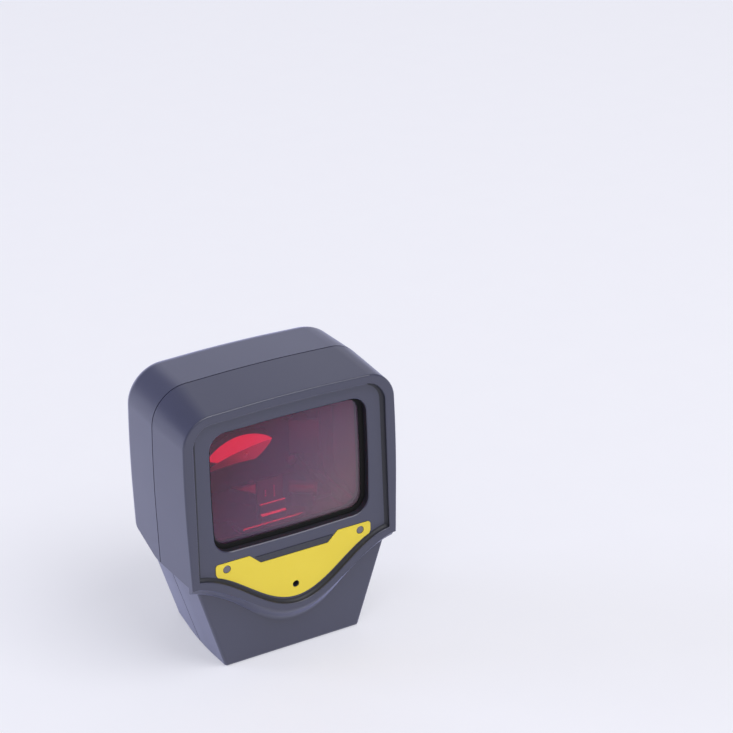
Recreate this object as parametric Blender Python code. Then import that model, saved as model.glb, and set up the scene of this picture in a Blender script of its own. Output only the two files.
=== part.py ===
"""Head of a desktop omnidirectional barcode scanner.

Run with: blender --background --python part.py

The head is a moulded two-part housing round an optical deck. A red window lies
deep in a rimmed front panel, whose lower lip runs in an S curve under a label.
Behind the window a motor spins a mirror wheel in front of a fan of fixed mirrors.

Units are metres, +Z is up and the front faces -Y. The plane X = 0 is the plane of
symmetry, and the origin is the middle of the flat base.
"""

from collections import namedtuple
from math import atan2, cos, pi, radians, sin, tan

import bmesh
import bpy
from mathutils import Matrix, Vector

MM = 0.001

# General sizes; GAP is the clearance between pieces that touch
WALL = 2.4 * MM
GAP = 0.3 * MM
THROUGH = 1.0 * MM
FAR = 90.0 * MM

# Widths, from the window outwards
WINDOW_HALF_WIDTH = 39.2 * MM
PANEL_MARGIN = 9.8 * MM
RIM_WIDTH = 3.5 * MM
PANEL_HALF_WIDTH = WINDOW_HALF_WIDTH + PANEL_MARGIN
HALF_WIDTH = PANEL_HALF_WIDTH + RIM_WIDTH

# Heights, from the ledge under the upper body upwards
LEDGE_Z = 47.8 * MM
LABEL_STRIP = 13.8 * MM
WINDOW_HEIGHT = 57.0 * MM
PANEL_HEADROOM = 6.6 * MM
TOP_RIM_WIDTH = 4.0 * MM
WINDOW_BOTTOM_Z = LEDGE_Z + LABEL_STRIP
WINDOW_TOP_Z = WINDOW_BOTTOM_Z + WINDOW_HEIGHT
PANEL_TOP_Z = WINDOW_TOP_Z + PANEL_HEADROOM
FRONT_TOP_Z = PANEL_TOP_Z + TOP_RIM_WIDTH

# Upper body, seen from the front
SIDE_BULGE = 1.4 * MM
BULGE_RISE = 3.5 * MM
BULGE_Z = (LEDGE_Z + FRONT_TOP_Z) / 2 + BULGE_RISE
TOP_TUCK = 0.4 * MM
CROWN = 1.75 * MM
FRONT_CORNER_R = 14.0 * MM
SEAM_CORNER_R = 17.5 * MM
SOFT_BEND_R = 600.0 * MM
UPPER_SKIRT = 4.0 * MM

# Upper body, from front to back
RIM_Y = -40.0 * MM
LEAN = radians(1.83)
RIM_EDGE_R = 0.9 * MM
SEAM_Y = -8.9 * MM
LAP = 2.6 * MM
SEAM_FLARE = 0.7 * MM
SEAM_RISE = 3.5 * MM
SHOULDER_Y = 18.5 * MM
SHOULDER_TUCK = 0.7 * MM
SHOULDER_R = 7.0 * MM
BACK_Y = 40.7 * MM
BACK_EDGE_R = 3.0 * MM
TOP_FALL = 0.73
CORNER_FALL = 0.2

# Edge under the upper body, from the side, and the two hollows at the back
LEDGE_TURN_Y = -3.7 * MM
LEDGE_REAR_Y = 17.0 * MM
LEDGE_REAR_RISE = 7.2 * MM
EAR_Y = 20.5 * MM
EAR_DROP = 21.2 * MM
EAR_TOP_Z = FRONT_TOP_Z - EAR_DROP
EAR_R = 6.0 * MM
SPINE_HALF_WIDTH = 17.0 * MM
SPINE_HEIGHT = 31.0 * MM

# Tapered lower body: plan at the base and at the ledge
BASE_FRONT_X = 35.4 * MM
BASE_FRONT_Y = -34.3 * MM
BASE_SIDE_X = 36.1 * MM
BASE_REAR_X = 32.2 * MM
BASE_REAR_Y = 20.4 * MM
BASE_BACK_X = 19.4 * MM
BASE_BACK_Y = 33.0 * MM
LEDGE_INSET = 2.8 * MM
TAPER = HALF_WIDTH - LEDGE_INSET - BASE_FRONT_X
FRONT_SLOPE = 1.9 * MM
BACK_SLOPE = 4.2 * MM
BACK_TAPER = 10.6 * MM
LOWER_OVERLAP = 7.0 * MM
LOWER_TOP_Z = EAR_TOP_Z + LOWER_OVERLAP
LOWER_CORNER_R = 3.5 * MM
LOWER_BACK_R = 5.0 * MM
LOWER_SIDE_R = 150.0 * MM
BASE_EDGE_R = 0.8 * MM

# S-curved lip: depths and bell curves on the leaning front
LIP_DEPTH = 4.6 * MM
LIP_SETBACK = 0.02 * MM
LIP_INSET = 0.5 * MM
LIP_TOP_RISE = 0.9 * MM
LIP_DROP = 24.4 * MM
LIP_RUNOUT = 4.5 * MM
LIP_FOOT_DROP = 4.2 * MM

# Recessed panel inside the rim
PANEL_DEPTH = 2.4 * MM
PANEL_TOP_TUCK = 1.4 * MM
PANEL_CROWN = 1.4 * MM
PANEL_CORNER_R = 9.5 * MM
PANEL_COVE = 1.9 * MM
PANEL_BELL_RISE = 3.1 * MM
PANEL_BELL_DROP = 24.2 * MM
PANEL_BELL_RUNOUT = 2.0 * MM
EDGE_BREAK = 0.35 * MM

# Window, its tunnel and what holds the pane
WINDOW_BOW = 0.7 * MM
WINDOW_TOP_R = 8.0 * MM
WINDOW_BOTTOM_R = 8.5 * MM
TUNNEL_WALL = 1.8 * MM
TUNNEL_DEPTH = 5.9 * MM
GASKET_THICKNESS = 0.8 * MM
PANE_THICKNESS = 2.0 * MM
PANE_OVERLAP = 1.5 * MM
RETAINER_THICKNESS = 1.5 * MM
RETAINER_LIP = 1.8 * MM
RETAINER_EAR_REACH = 6.4 * MM
RETAINER_EAR_X = WINDOW_HALF_WIDTH + RETAINER_EAR_REACH
RETAINER_EAR_Z = (WINDOW_BOTTOM_Z + WINDOW_TOP_Z) / 2
RETAINER_EAR_R = 3.2 * MM

# Label, its dark band and its bell-shaped lower edge
LABEL_THICKNESS = 0.4 * MM
LABEL_POCKET = 0.35 * MM
LABEL_OVERHANG = 0.7 * MM
LABEL_HALF_WIDTH = WINDOW_HALF_WIDTH + LABEL_OVERHANG
LABEL_BELL_RISE = 3.7 * MM
LABEL_BELL_Z = LEDGE_Z + LABEL_BELL_RISE
LABEL_BELL_DROP = 22.3 * MM
LABEL_BELL_RUNOUT = 8.1 * MM
LABEL_END_HEIGHT = 5.0 * MM
LABEL_END_Z = LABEL_BELL_Z - GAP
LABEL_TOP_Z = LABEL_BELL_Z + LABEL_END_HEIGHT
LABEL_CORNER_R = 1.4 * MM
NOTCH_HALF_WIDTH = 17.3 * MM
NOTCH_DEPTH = 5.5 * MM
NOTCH_FLARE = 5.4 * MM
NOTCH_Z = LABEL_TOP_Z - NOTCH_DEPTH
BAND_HEIGHT = 4.2 * MM

# Indicator lenses at the ends of the label, and the beeper behind its sound hole
LENS_INSET = 5.5 * MM
LENS_DROP = 3.9 * MM
LENS_X = LABEL_HALF_WIDTH - LENS_INSET
LENS_Z = LABEL_TOP_Z - LENS_DROP
LENS_R = 1.9 * MM
LENS_LENGTH = 8.4 * MM
LED_R = 1.5 * MM
LED_LENGTH = 2.2 * MM
SOUND_HOLE_RISE = 5.9 * MM
SOUND_HOLE_Z = LABEL_BELL_Z - LABEL_BELL_DROP + SOUND_HOLE_RISE
SOUND_HOLE_R = 1.4 * MM
BEEPER_R = 6.0 * MM
BEEPER_LENGTH = 5.8 * MM

# Circuit board behind the label, placed from the lenses and the beeper
BOARD_THICKNESS = 1.5 * MM
BOARD_CORNER_R = 1.0 * MM
BOARD_POST_R = 2.6 * MM
INDICATOR_BOARD_Y = -26.9 * MM
INDICATOR_SIDE_MARGIN = 3.6 * MM
INDICATOR_TOP_MARGIN = 3.7 * MM
INDICATOR_LOW_MARGIN = 6.1 * MM
INDICATOR_TONGUE_HALF_WIDTH = 9.0 * MM
INDICATOR_TONGUE_MARGIN = 8.1 * MM
INDICATOR_BOSS_SPACING = 10.4 * MM
INDICATOR_BOSS_DROP = 1.0 * MM

# Optical deck
SHELF_RISE = 11.2 * MM
SHELF_Z = LEDGE_Z + SHELF_RISE
DECK_WALL = 2.4 * MM
DECK_HALF_WIDTH = 36.0 * MM
SHELF_OVERHANG = 1.0 * MM
SHELF_HALF_WIDTH = DECK_HALF_WIDTH + SHELF_OVERHANG
SHELF_FRONT_Y = -8.0 * MM
SHELF_CORNER_R = 2.0 * MM
TONGUE_HALF_WIDTH = 17.0 * MM
TONGUE_FRONT_Y = -18.5 * MM
DECK_BACK_Y = 21.4 * MM
DECK_HEADROOM = 0.4 * MM
DECK_TOP_Z = WINDOW_TOP_Z + DECK_HEADROOM
DECK_CORNER_R = 14.0 * MM
GUSSET_HEIGHT = 14.0 * MM
CHASSIS_POST_R = 3.2 * MM
LOW_POST_MARGIN = 6.5 * MM
LOW_POST_RISE = 7.0 * MM
HIGH_POST_MARGIN = 12.0 * MM
HIGH_POST_DROP = 7.0 * MM
CHASSIS_POST_LOW = (DECK_HALF_WIDTH - LOW_POST_MARGIN, SHELF_Z + LOW_POST_RISE)
CHASSIS_POST_HIGH = (DECK_HALF_WIDTH - HIGH_POST_MARGIN, DECK_TOP_Z - HIGH_POST_DROP)

# Fan of fixed mirrors; each mirror is a share of the fan's height
FAN_RISE = 23.0 * MM
FAN_TOP_MARGIN = 10.0 * MM
FAN_SIDE_MARGIN = 5.0 * MM
FAN_SETBACK = 12.9 * MM
FAN_Z = SHELF_Z + FAN_RISE
FAN_Y = DECK_BACK_Y - FAN_SETBACK
FAN_HALF_WIDTH = DECK_HALF_WIDTH - FAN_SIDE_MARGIN
FAN_HEIGHT = DECK_TOP_Z - FAN_TOP_MARGIN - FAN_Z
FOLD_NAMES = ("right", "upper_right", "top", "upper_left", "left")
FOLD_WIDTH = 0.63 * FAN_HEIGHT
FOLD_HEIGHT = 0.52 * FAN_HEIGHT
FOLD_THICKNESS = 2.0 * MM
FOLD_TILT = radians(30)
SEAT_MARGIN = 1.0 * MM
SEAT_REACH = 24.0 * MM

# Concave collecting mirror inside the fan
COLLECTOR_SETBACK = 12.4 * MM
COLLECTOR_RISE = 3.5 * MM
COLLECTOR_SIDE_GAP = 11.0 * MM
COLLECTOR_Y = DECK_BACK_Y - COLLECTOR_SETBACK
COLLECTOR_Z = FAN_Z + COLLECTOR_RISE
COLLECTOR_HALF_WIDTH = FAN_HALF_WIDTH - COLLECTOR_SIDE_GAP
COLLECTOR_HALF_HEIGHT = 0.352 * FAN_HEIGHT
COLLECTOR_THICKNESS = 4.0 * MM
COLLECTOR_CURVE_R = 260.0 * MM
COLLECTOR_DISH = 1.0 * MM
COLLECTOR_SEAT_INSET = 4.0 * MM

# Mirror wheel and motor
SPIN_Y = 3.0 * MM
WHEEL_R = 10.0 * MM
WHEEL_FACETS = 5
WHEEL_RISE = 3.4 * MM
WHEEL_LOW_Z = SHELF_Z + WHEEL_RISE
WHEEL_HEIGHT = 7.0 * MM
FACET_STEP = radians(1.2)
HUB_R = 3.4 * MM
HUB_HEIGHT = 1.8 * MM
SHAFT_R = 1.5 * MM
SHAFT_LENGTH = 21.5 * MM
MOTOR_R = 10.0 * MM
MOTOR_HEIGHT = 10.0 * MM
MOTOR_FOOT = 2.0 * MM
BEARING_R = 4.5 * MM
BEARING_HEIGHT = 3.2 * MM

# Laser tube and its block
LASER_R = 3.5 * MM
LASER_LENGTH = 13.0 * MM
LASER_APERTURE_R = 1.4 * MM
LASER_APERTURE_DEPTH = 1.2 * MM
LASER_MARGIN = 16.0 * MM
LASER_X = DECK_HALF_WIDTH - LASER_MARGIN
LASER_Y = -9.6 * MM
LASER_MOUNT_WIDTH = 10.0 * MM

# Light sensor on its board and stepped bracket
SENSOR_HALF_WIDTH = 6.7 * MM
BRACKET_DEPTH = 3.2 * MM
BRACKET_STEP = 1.2 * MM
BRACKET_STEP_RISE = 3.6 * MM
BRACKET_RISE = 9.2 * MM
BRACKET_BAR = 1.5 * MM
SENSOR_BOARD_Y = TONGUE_FRONT_Y + BRACKET_DEPTH + GAP
SENSOR_BOARD_HEIGHT = 20.0 * MM
PHOTODIODE_R = 2.6 * MM
PHOTODIODE_LENGTH = 2.0 * MM
PHOTODIODE_DROP = 4.0 * MM

# Main board behind the deck
BOARD_SPACING = 4.6 * MM
MAIN_BOARD_Y = DECK_BACK_Y + BOARD_SPACING
MAIN_BOARD_HALF_WIDTH = 19.5 * MM
MAIN_BOARD_LOW_Z = 6.0 * MM
MAIN_BOARD_OVERLAP = 3.0 * MM
MAIN_BOARD_TOP_Z = EAR_TOP_Z + MAIN_BOARD_OVERLAP
LOW_BOARD_POST_INSET = 5.5 * MM
LOW_BOARD_POST_Z = 30.0 * MM
HIGH_BOARD_POST_INSET = 7.9 * MM
HIGH_BOARD_POST_DROP = 11.0 * MM
BOARD_POST_LOW = (MAIN_BOARD_HALF_WIDTH - LOW_BOARD_POST_INSET, LOW_BOARD_POST_Z)
BOARD_POST_HIGH = (MAIN_BOARD_HALF_WIDTH - HIGH_BOARD_POST_INSET, MAIN_BOARD_TOP_Z - HIGH_BOARD_POST_DROP)
CHIP_SIZE = 15.0 * MM
CHIP_THICKNESS = 1.5 * MM
CHIP_DROP = 27.0 * MM
CHIP_Z = MAIN_BOARD_TOP_Z - CHIP_DROP
CHIP_EDGE = 0.2 * MM
PLUG_WIDTH = 16.0 * MM
PLUG_HEIGHT = 6.0 * MM
PLUG_DEPTH = 5.5 * MM
PLUG_Z = 44.0 * MM
PLUG_EDGE = 0.3 * MM

# Cable socket in the base
SOCKET_HALF_WIDTH = 7.6 * MM
SOCKET_DEPTH = 13.0 * MM
SOCKET_HEIGHT = 15.0 * MM
SOCKET_WALL = 1.6 * MM

# Screws, and the bosses that join the two shells
SCREW_R = 1.25 * MM
SCREW_HEAD_R = 2.4 * MM
SCREW_HEAD_HEIGHT = 1.6 * MM
SHELL_SCREW_LENGTH = 15.0 * MM
SHELL_SCREW_HEAD_Y = 0.5 * MM
DECK_SCREW_LENGTH = 9.0 * MM
BOARD_SCREW_LENGTH = 6.0 * MM
SHELL_BOSS_R = 3.3 * MM
HIGH_BOSS_MARGIN = 7.9 * MM
HIGH_BOSS_DROP = 8.2 * MM
LOW_BOSS_MARGIN = 9.3 * MM
LOW_BOSS_CLEARANCE = 0.7 * MM
SHELL_BOSS_HIGH = (HALF_WIDTH - HIGH_BOSS_MARGIN, FRONT_TOP_Z - HIGH_BOSS_DROP)
SHELL_BOSS_LOW = (HALF_WIDTH - LOW_BOSS_MARGIN, SHELF_Z - DECK_WALL - LOW_BOSS_CLEARANCE - SHELL_BOSS_R)

# A shell is its solid and the cavity that is cut from it; bosses are what the cavity leaves
Shell = namedtuple("Shell", "solid cavity")

PARTS = None
CUTTERS = None


def start_scene():
    """Empty the scene and make the two collections."""
    global PARTS, CUTTERS
    for obj in list(bpy.data.objects):
        bpy.data.objects.remove(obj)
    PARTS = bpy.data.collections.new("desktop_scanner_head")
    CUTTERS = bpy.data.collections.new("cutters")
    for collection in (PARTS, CUTTERS):
        bpy.context.scene.collection.children.link(collection)


def linear(channel):
    """One sRGB channel, from 0 to 1, as linear light."""
    if channel <= 0.04045:
        return channel / 12.92
    return ((channel + 0.055) / 1.055) ** 2.4


def material(name, colour, roughness, metallic=0.0, transmission=0.0):
    """A Principled material from an sRGB hex colour; made once for each name."""
    if name in bpy.data.materials:
        return bpy.data.materials[name]
    made = bpy.data.materials.new(name)
    made.use_nodes = True
    shader = made.node_tree.nodes["Principled BSDF"]
    rgb = [linear(int(colour[i:i + 2], 16) / 255) for i in (0, 2, 4)]
    shader.inputs["Base Color"].default_value = (*rgb, 1)
    shader.inputs["Roughness"].default_value = roughness
    shader.inputs["Metallic"].default_value = metallic
    shader.inputs["Transmission Weight"].default_value = transmission
    return made


def charcoal():
    return material("charcoal_abs", "2b2c31", 0.45)


def deck_black():
    return material("matte_black_plastic", "17171a", 0.6)


def mirror_glass():
    return material("front_silvered_glass", "d8dde2", 0.05, metallic=1.0)


def board_green():
    return material("green_fibreglass_board", "1f4a2e", 0.5)


def zinc():
    return material("zinc_plated_steel", "9fa3a8", 0.35, metallic=1.0)


def add_object(name, bm, finish=None, location=(0, 0, 0), rotation=None):
    """Turn a bmesh into a part, or into a cutter when it has no finish."""
    bmesh.ops.recalc_face_normals(bm, faces=bm.faces)
    mesh = bpy.data.meshes.new(name)
    bm.to_mesh(mesh)
    bm.free()
    obj = bpy.data.objects.new(name, mesh)
    obj.location = location
    if rotation is not None:
        obj.rotation_euler = rotation.to_euler()
    if finish is None:
        CUTTERS.objects.link(obj)
        obj.hide_render = True
        obj.display_type = "WIRE"
    else:
        PARTS.objects.link(obj)
        mesh.materials.append(finish)
        mesh.shade_smooth()
        mesh.set_sharp_from_angle(angle=radians(35))
    return obj


def combine(obj, other, operation="DIFFERENCE"):
    """Add a Boolean modifier; the exact solver is the default."""
    modifier = obj.modifiers.new(f"{operation.lower()}_{other.name}", "BOOLEAN")
    modifier.operation = operation
    modifier.object = other
    return obj


def loft(name, rings, finish=None):
    """Closed solid through rings that all have the same number of points."""
    bm = bmesh.new()
    rows = [[bm.verts.new(point) for point in ring] for ring in rings]
    for near, far in zip(rows, rows[1:]):
        for i in range(len(near)):
            j = (i + 1) % len(near)
            bm.faces.new((near[i], near[j], far[j], far[i]))
    bm.faces.new(rows[0])
    bm.faces.new(rows[-1])
    return add_object(name, bm, finish)


def block(name, low, high, finish=None, bevel=0.0):
    """Box between two corners, with its origin at its middle."""
    low, high = Vector(low), Vector(high)
    bm = bmesh.new()
    bmesh.ops.create_cube(bm, size=1)
    bmesh.ops.scale(bm, vec=high - low, verts=bm.verts)
    if bevel:
        bmesh.ops.bevel(bm, geom=bm.edges, offset=bevel, segments=1, affect="EDGES")
    return add_object(name, bm, finish, (low + high) / 2)


def rod(name, start, direction, radius, length, finish=None, sides=20):
    """Cylinder that starts at a point and runs along a direction."""
    bm = bmesh.new()
    bmesh.ops.create_cone(bm, cap_ends=True, segments=sides, radius1=radius,
                          radius2=radius, depth=length)
    turn = Vector((0, 0, 1)).rotation_difference(Vector(direction))
    middle = Vector(start) + Vector(direction).normalized() * length / 2
    return add_object(name, bm, finish, middle, turn)


def offset(corners, inset):
    """Move the edges of a counterclockwise polygon inwards by the inset."""
    moved = []
    for i, (x, y, radius, steps) in enumerate(corners):
        before = Vector(corners[i - 1][:2])
        here = Vector((x, y))
        after = Vector(corners[(i + 1) % len(corners)][:2])
        first = (here - before).normalized()
        second = (after - here).normalized()
        n1 = Vector((-first.y, first.x))
        n2 = Vector((-second.y, second.x))
        here = here + inset * (n1 + n2) / (1 + n1.dot(n2))
        if radius:
            radius = max(radius - inset, GAP)
        moved.append((here.x, here.y, radius, steps))
    return moved


def rounded(corners):
    """Points of a polygon whose corners (x, y, radius, steps) are arcs."""
    points = []
    for i, (x, y, radius, steps) in enumerate(corners):
        here = Vector((x, y))
        if not radius:
            points.append(here)
            continue
        to_before = Vector(corners[i - 1][:2]) - here
        to_after = Vector(corners[(i + 1) % len(corners)][:2]) - here
        half = to_before.angle(to_after) / 2
        reach = radius / tan(half)
        reach = min(reach, 0.49 * to_before.length, 0.49 * to_after.length)
        radius = reach * tan(half)
        bisector = (to_before.normalized() + to_after.normalized()).normalized()
        centre = here + bisector * radius / sin(half)
        start = here + to_before.normalized() * reach - centre
        end = here + to_after.normalized() * reach - centre
        sweep = start.angle_signed(end)
        for k in range(steps + 1):
            turn = -sweep * k / steps
            points.append(centre + Matrix.Rotation(turn, 2) @ start)
    return points


def mirrored(right):
    """Close a right half, listed from bottom to top, with its mirror image."""
    return right + [(-x, y, radius, steps) for x, y, radius, steps in reversed(right) if x > 0]


def bell(x, edge_z, drop, span):
    """Height of a bell curve that hangs below edge_z at the middle."""
    if abs(x) >= span:
        return edge_z
    return edge_z - drop * (1 + cos(pi * x / span)) / 2


def front_y(z, depth):
    """Y of a point at a depth behind the leaning rim plane."""
    return RIM_Y + (z - LEDGE_Z) * tan(LEAN) + depth


def panel_ring(corners, depth):
    """Ring parallel to the front rim."""
    return [Vector((p.x, front_y(p.y, depth), p.y)) for p in rounded(corners)]


def upper_corners(flare, rise, radius, inset):
    """Arch of the upper body: bulged sides, round shoulders and a crowned top."""
    half = HALF_WIDTH + flare
    top = FRONT_TOP_Z + rise
    right = [
        (half, LEDGE_Z - UPPER_SKIRT, 0, 1),
        (half + SIDE_BULGE, BULGE_Z, SOFT_BEND_R, 4),
        (half + TOP_TUCK, top, radius, 7),
        (0, top + CROWN, SOFT_BEND_R, 5),
    ]
    corners = offset(mirrored(right), inset)
    return [(x, max(z, LEDGE_Z - UPPER_SKIRT), r, n) for x, z, r, n in corners]


def back_profile(inset):
    """Side view of the shoulder and back: (y, how far the section has shrunk)."""
    bend = SHOULDER_Y - inset * tan(pi / 8)
    back = BACK_Y - inset
    shrink = back - bend
    corners = [
        (SEAM_Y, 0, 0, 1),
        (bend, 0, SHOULDER_R, 4),
        (back, shrink, BACK_EDGE_R, 3),
        (back, shrink + 2 * BACK_EDGE_R, 0, 1),
    ]
    return [(p.x, p.y) for p in rounded(corners + [(SEAM_Y, shrink + 2 * BACK_EDGE_R, 0, 1)])[:-1]]


def upper_form(name, inset):
    """Upper body from rim to back, before its underside is cut."""
    rings = []
    if inset:
        first = PANEL_DEPTH + inset
        corners = upper_corners(0, 0, FRONT_CORNER_R, inset)
        rings.append(panel_ring(corners, first))
    else:
        for k in range(4):
            turn = k * pi / 6
            corners = upper_corners(0, 0, FRONT_CORNER_R, RIM_EDGE_R * (1 - sin(turn)))
            rings.append(panel_ring(corners, RIM_EDGE_R * (1 - cos(turn))))
    for y, shrink in back_profile(inset):
        share = (y - SEAM_Y) / (SHOULDER_Y - SEAM_Y)
        flare = SEAM_FLARE - SHOULDER_TUCK * share - shrink
        rise = SEAM_RISE - SHOULDER_TUCK * share - TOP_FALL * shrink
        radius = SEAM_CORNER_R - CORNER_FALL * shrink
        corners = upper_corners(flare, rise, radius, inset)
        rings.append([Vector((p.x, y, p.y)) for p in rounded(corners)])
    return loft(name, rings)


def plan_corners(share, inset):
    """Plan of the lower body; share is 0 at the base and 1 at the ledge."""
    wide = TAPER * share
    right = [
        (BASE_FRONT_X + wide, BASE_FRONT_Y - FRONT_SLOPE * share, LOWER_CORNER_R, 4),
        (BASE_SIDE_X + wide, SEAM_Y, LOWER_SIDE_R, 2),
        (BASE_REAR_X + wide, BASE_REAR_Y, LOWER_BACK_R, 3),
        (BASE_BACK_X + BACK_TAPER * share, BASE_BACK_Y + BACK_SLOPE * share, LOWER_BACK_R, 3),
    ]
    return offset(mirrored(right), inset)


def lower_form(name, inset):
    """Tapered lower body; above the ledge it carries on straight inside the upper body."""
    levels = [(inset, inset / LEDGE_Z, inset)]
    if not inset:
        levels = [(0, 0, BASE_EDGE_R), (0.3 * BASE_EDGE_R, 0, 0.3 * BASE_EDGE_R), (BASE_EDGE_R, 0, 0)]
    levels += [(LEDGE_Z, 1, inset), (LOWER_TOP_Z - inset, 1, inset)]
    rings = []
    for z, share, narrowing in levels:
        lean = max(0, z - LEDGE_Z) * tan(LEAN)
        outline = rounded(plan_corners(share, narrowing))
        rings.append([Vector((p.x, p.y + lean * (p.y < 0), z)) for p in outline])
    return loft(name, rings)


def under_cutter(name, inset):
    """What lies below the ledge and in the two hollows beside the spine."""
    side = [
        (-FAR, LEDGE_Z, 0, 1),
        (-FAR, -FAR, 0, 1),
        (FAR, -FAR, 0, 1),
        (FAR, EAR_TOP_Z, 0, 1),
        (EAR_Y, EAR_TOP_Z, EAR_R, 3),
        (LEDGE_REAR_Y, LEDGE_Z + LEDGE_REAR_RISE, LOWER_CORNER_R, 3),
        (LEDGE_TURN_Y, LEDGE_Z, 0, 1),
    ]
    outline = rounded(offset(side, -inset))
    rings = [[Vector((x, p.x, p.y)) for p in outline] for x in (-FAR, FAR)]
    cutter = loft(name, rings)
    half = SPINE_HALF_WIDTH - inset
    spine = [
        (half, EAR_TOP_Z + FAR, 0, 1),
        (-half, EAR_TOP_Z + FAR, 0, 1),
        (-half, EAR_TOP_Z - SPINE_HEIGHT + inset, LOWER_BACK_R, 3),
        (half, EAR_TOP_Z - SPINE_HEIGHT + inset, LOWER_BACK_R, 3),
    ]
    outline = rounded(spine)
    keep = loft(f"{name}_spine", [[Vector((p.x, y, p.y)) for p in outline] for y in (0, 2 * FAR)])
    return combine(cutter, keep)


def housing_form(name, inset=0.0):
    """Whole outer form of the housing, or the same form inset by a distance."""
    form = upper_form(name, inset)
    combine(form, under_cutter(f"{name}_under", inset))
    combine(form, lower_form(f"{name}_lower", inset), "UNION")
    return form


def lip_form():
    """The lip below the panel: a bell-shaped apron that slopes back to the lower body."""
    half, span = HALF_WIDTH - LIP_INSET, HALF_WIDTH + LIP_RUNOUT
    slope = ((0.0, 0.0), (0.15, 0.06), (0.5, 0.3), (0.85, 0.78), (1.0, 1.0), (1.3, 1.0))
    rings = []
    for depth_share, drop_share in slope:
        foot = LIP_FOOT_DROP * drop_share
        outline = [(half, WINDOW_BOTTOM_Z), (-half, WINDOW_BOTTOM_Z)]
        for k in range(33):
            x = half * (k / 16 - 1)
            outline.append((x, bell(x, LEDGE_Z + LIP_TOP_RISE, LIP_DROP + foot, span)))
        depth = LIP_SETBACK + LIP_DEPTH * depth_share
        rings.append([Vector((x, front_y(z, depth), z)) for x, z in outline])
    return loft("lip_form", rings)


def panel_corners(inset, steps=24):
    """Outline of the recessed panel, with the bell curve as its lower edge."""
    bell_z = LEDGE_Z + PANEL_BELL_RISE
    right_top = [
        (PANEL_HALF_WIDTH, bell_z, 0, 1),
        (PANEL_HALF_WIDTH - PANEL_TOP_TUCK, PANEL_TOP_Z, PANEL_CORNER_R, 7),
        (0, PANEL_TOP_Z + PANEL_CROWN, SOFT_BEND_R, 5),
    ]
    lower = []
    for k in range(1, steps):
        x = PANEL_HALF_WIDTH * (2 * k / steps - 1)
        z = bell(x, bell_z, PANEL_BELL_DROP, PANEL_HALF_WIDTH + PANEL_BELL_RUNOUT)
        lower.append((x, z, 0, 1))
    return offset(mirrored(right_top) + lower, inset)


def panel_cutter():
    """Recess of the panel, with a broken edge and a cove at its foot."""
    rings = [panel_ring(panel_corners(-EDGE_BREAK), -THROUGH)]
    rings.append(panel_ring(panel_corners(-EDGE_BREAK), 0))
    rings.append(panel_ring(panel_corners(0), EDGE_BREAK))
    for k in range(1, 4):
        turn = k * pi / 6
        depth = EDGE_BREAK + (PANEL_DEPTH - EDGE_BREAK) * sin(turn)
        rings.append(panel_ring(panel_corners(PANEL_COVE * (1 - cos(turn))), depth))
    return loft("panel_cutter", rings)


def window_corners(inset=0.0):
    """Window outline: slightly bowed sides and round corners."""
    right = [
        (0, WINDOW_BOTTOM_Z - WINDOW_BOW, SOFT_BEND_R, 4),
        (WINDOW_HALF_WIDTH, WINDOW_BOTTOM_Z, WINDOW_BOTTOM_R, 6),
        (WINDOW_HALF_WIDTH + WINDOW_BOW, (WINDOW_BOTTOM_Z + WINDOW_TOP_Z) / 2, SOFT_BEND_R, 4),
        (WINDOW_HALF_WIDTH, WINDOW_TOP_Z, WINDOW_TOP_R, 6),
        (0, WINDOW_TOP_Z + WINDOW_BOW, SOFT_BEND_R, 4),
    ]
    return offset(mirrored(right), inset)


def window_slab(name, inset, near, far, finish=None):
    """Slab with the window's outline between two depths."""
    corners = window_corners(inset)
    return loft(name, [panel_ring(corners, near), panel_ring(corners, far)], finish)


def window_cutter():
    """Opening through the panel and its tunnel, with a broken front edge."""
    grown = window_corners(-2 * EDGE_BREAK)
    plain = window_corners()
    rings = [
        panel_ring(grown, PANEL_DEPTH - THROUGH),
        panel_ring(grown, PANEL_DEPTH - EDGE_BREAK / 2),
        panel_ring(plain, PANEL_DEPTH + 1.5 * EDGE_BREAK),
        panel_ring(plain, TUNNEL_DEPTH + THROUGH),
    ]
    return loft("window_cutter", rings)


def label_corners(steps=24):
    """Bell-shaped label with two ears and a notch in its upper edge."""
    right = [
        (LABEL_HALF_WIDTH, LABEL_END_Z, 0, 1),
        (LABEL_HALF_WIDTH, LABEL_TOP_Z, LABEL_CORNER_R, 3),
        (NOTCH_HALF_WIDTH + NOTCH_FLARE, LABEL_TOP_Z, 0, 1),
        (NOTCH_HALF_WIDTH, NOTCH_Z, 0, 1),
    ]
    lower = []
    for k in range(1, steps):
        x = LABEL_HALF_WIDTH * (2 * k / steps - 1)
        z = bell(x, LABEL_BELL_Z, LABEL_BELL_DROP, LABEL_HALF_WIDTH + LABEL_BELL_RUNOUT)
        lower.append((x, min(z, LABEL_END_Z - GAP), 0, 1))
    return mirrored(right) + lower


def band_corners():
    """Dark band that fills the notch of the label."""
    top = NOTCH_HALF_WIDTH + BAND_HEIGHT * NOTCH_FLARE / NOTCH_DEPTH
    right = [(NOTCH_HALF_WIDTH, NOTCH_Z, 0, 1), (top, NOTCH_Z + BAND_HEIGHT, 0, 1)]
    return offset(mirrored(right), GAP)


def at_mirrored_places(places):
    """Each (x, z) place and its mirror image, numbered from 1."""
    number = 0
    for x, z in places:
        for side in (1, -1):
            number += 1
            yield number, side * x, z


def add_boss(shell, name, x, z, start, end, radius):
    """Leave a round boss along Y standing in the shell's cavity."""
    boss = rod(name, (x, start, z), (0, 1, 0), radius, end - start)
    combine(shell.cavity, boss)
    return boss


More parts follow.
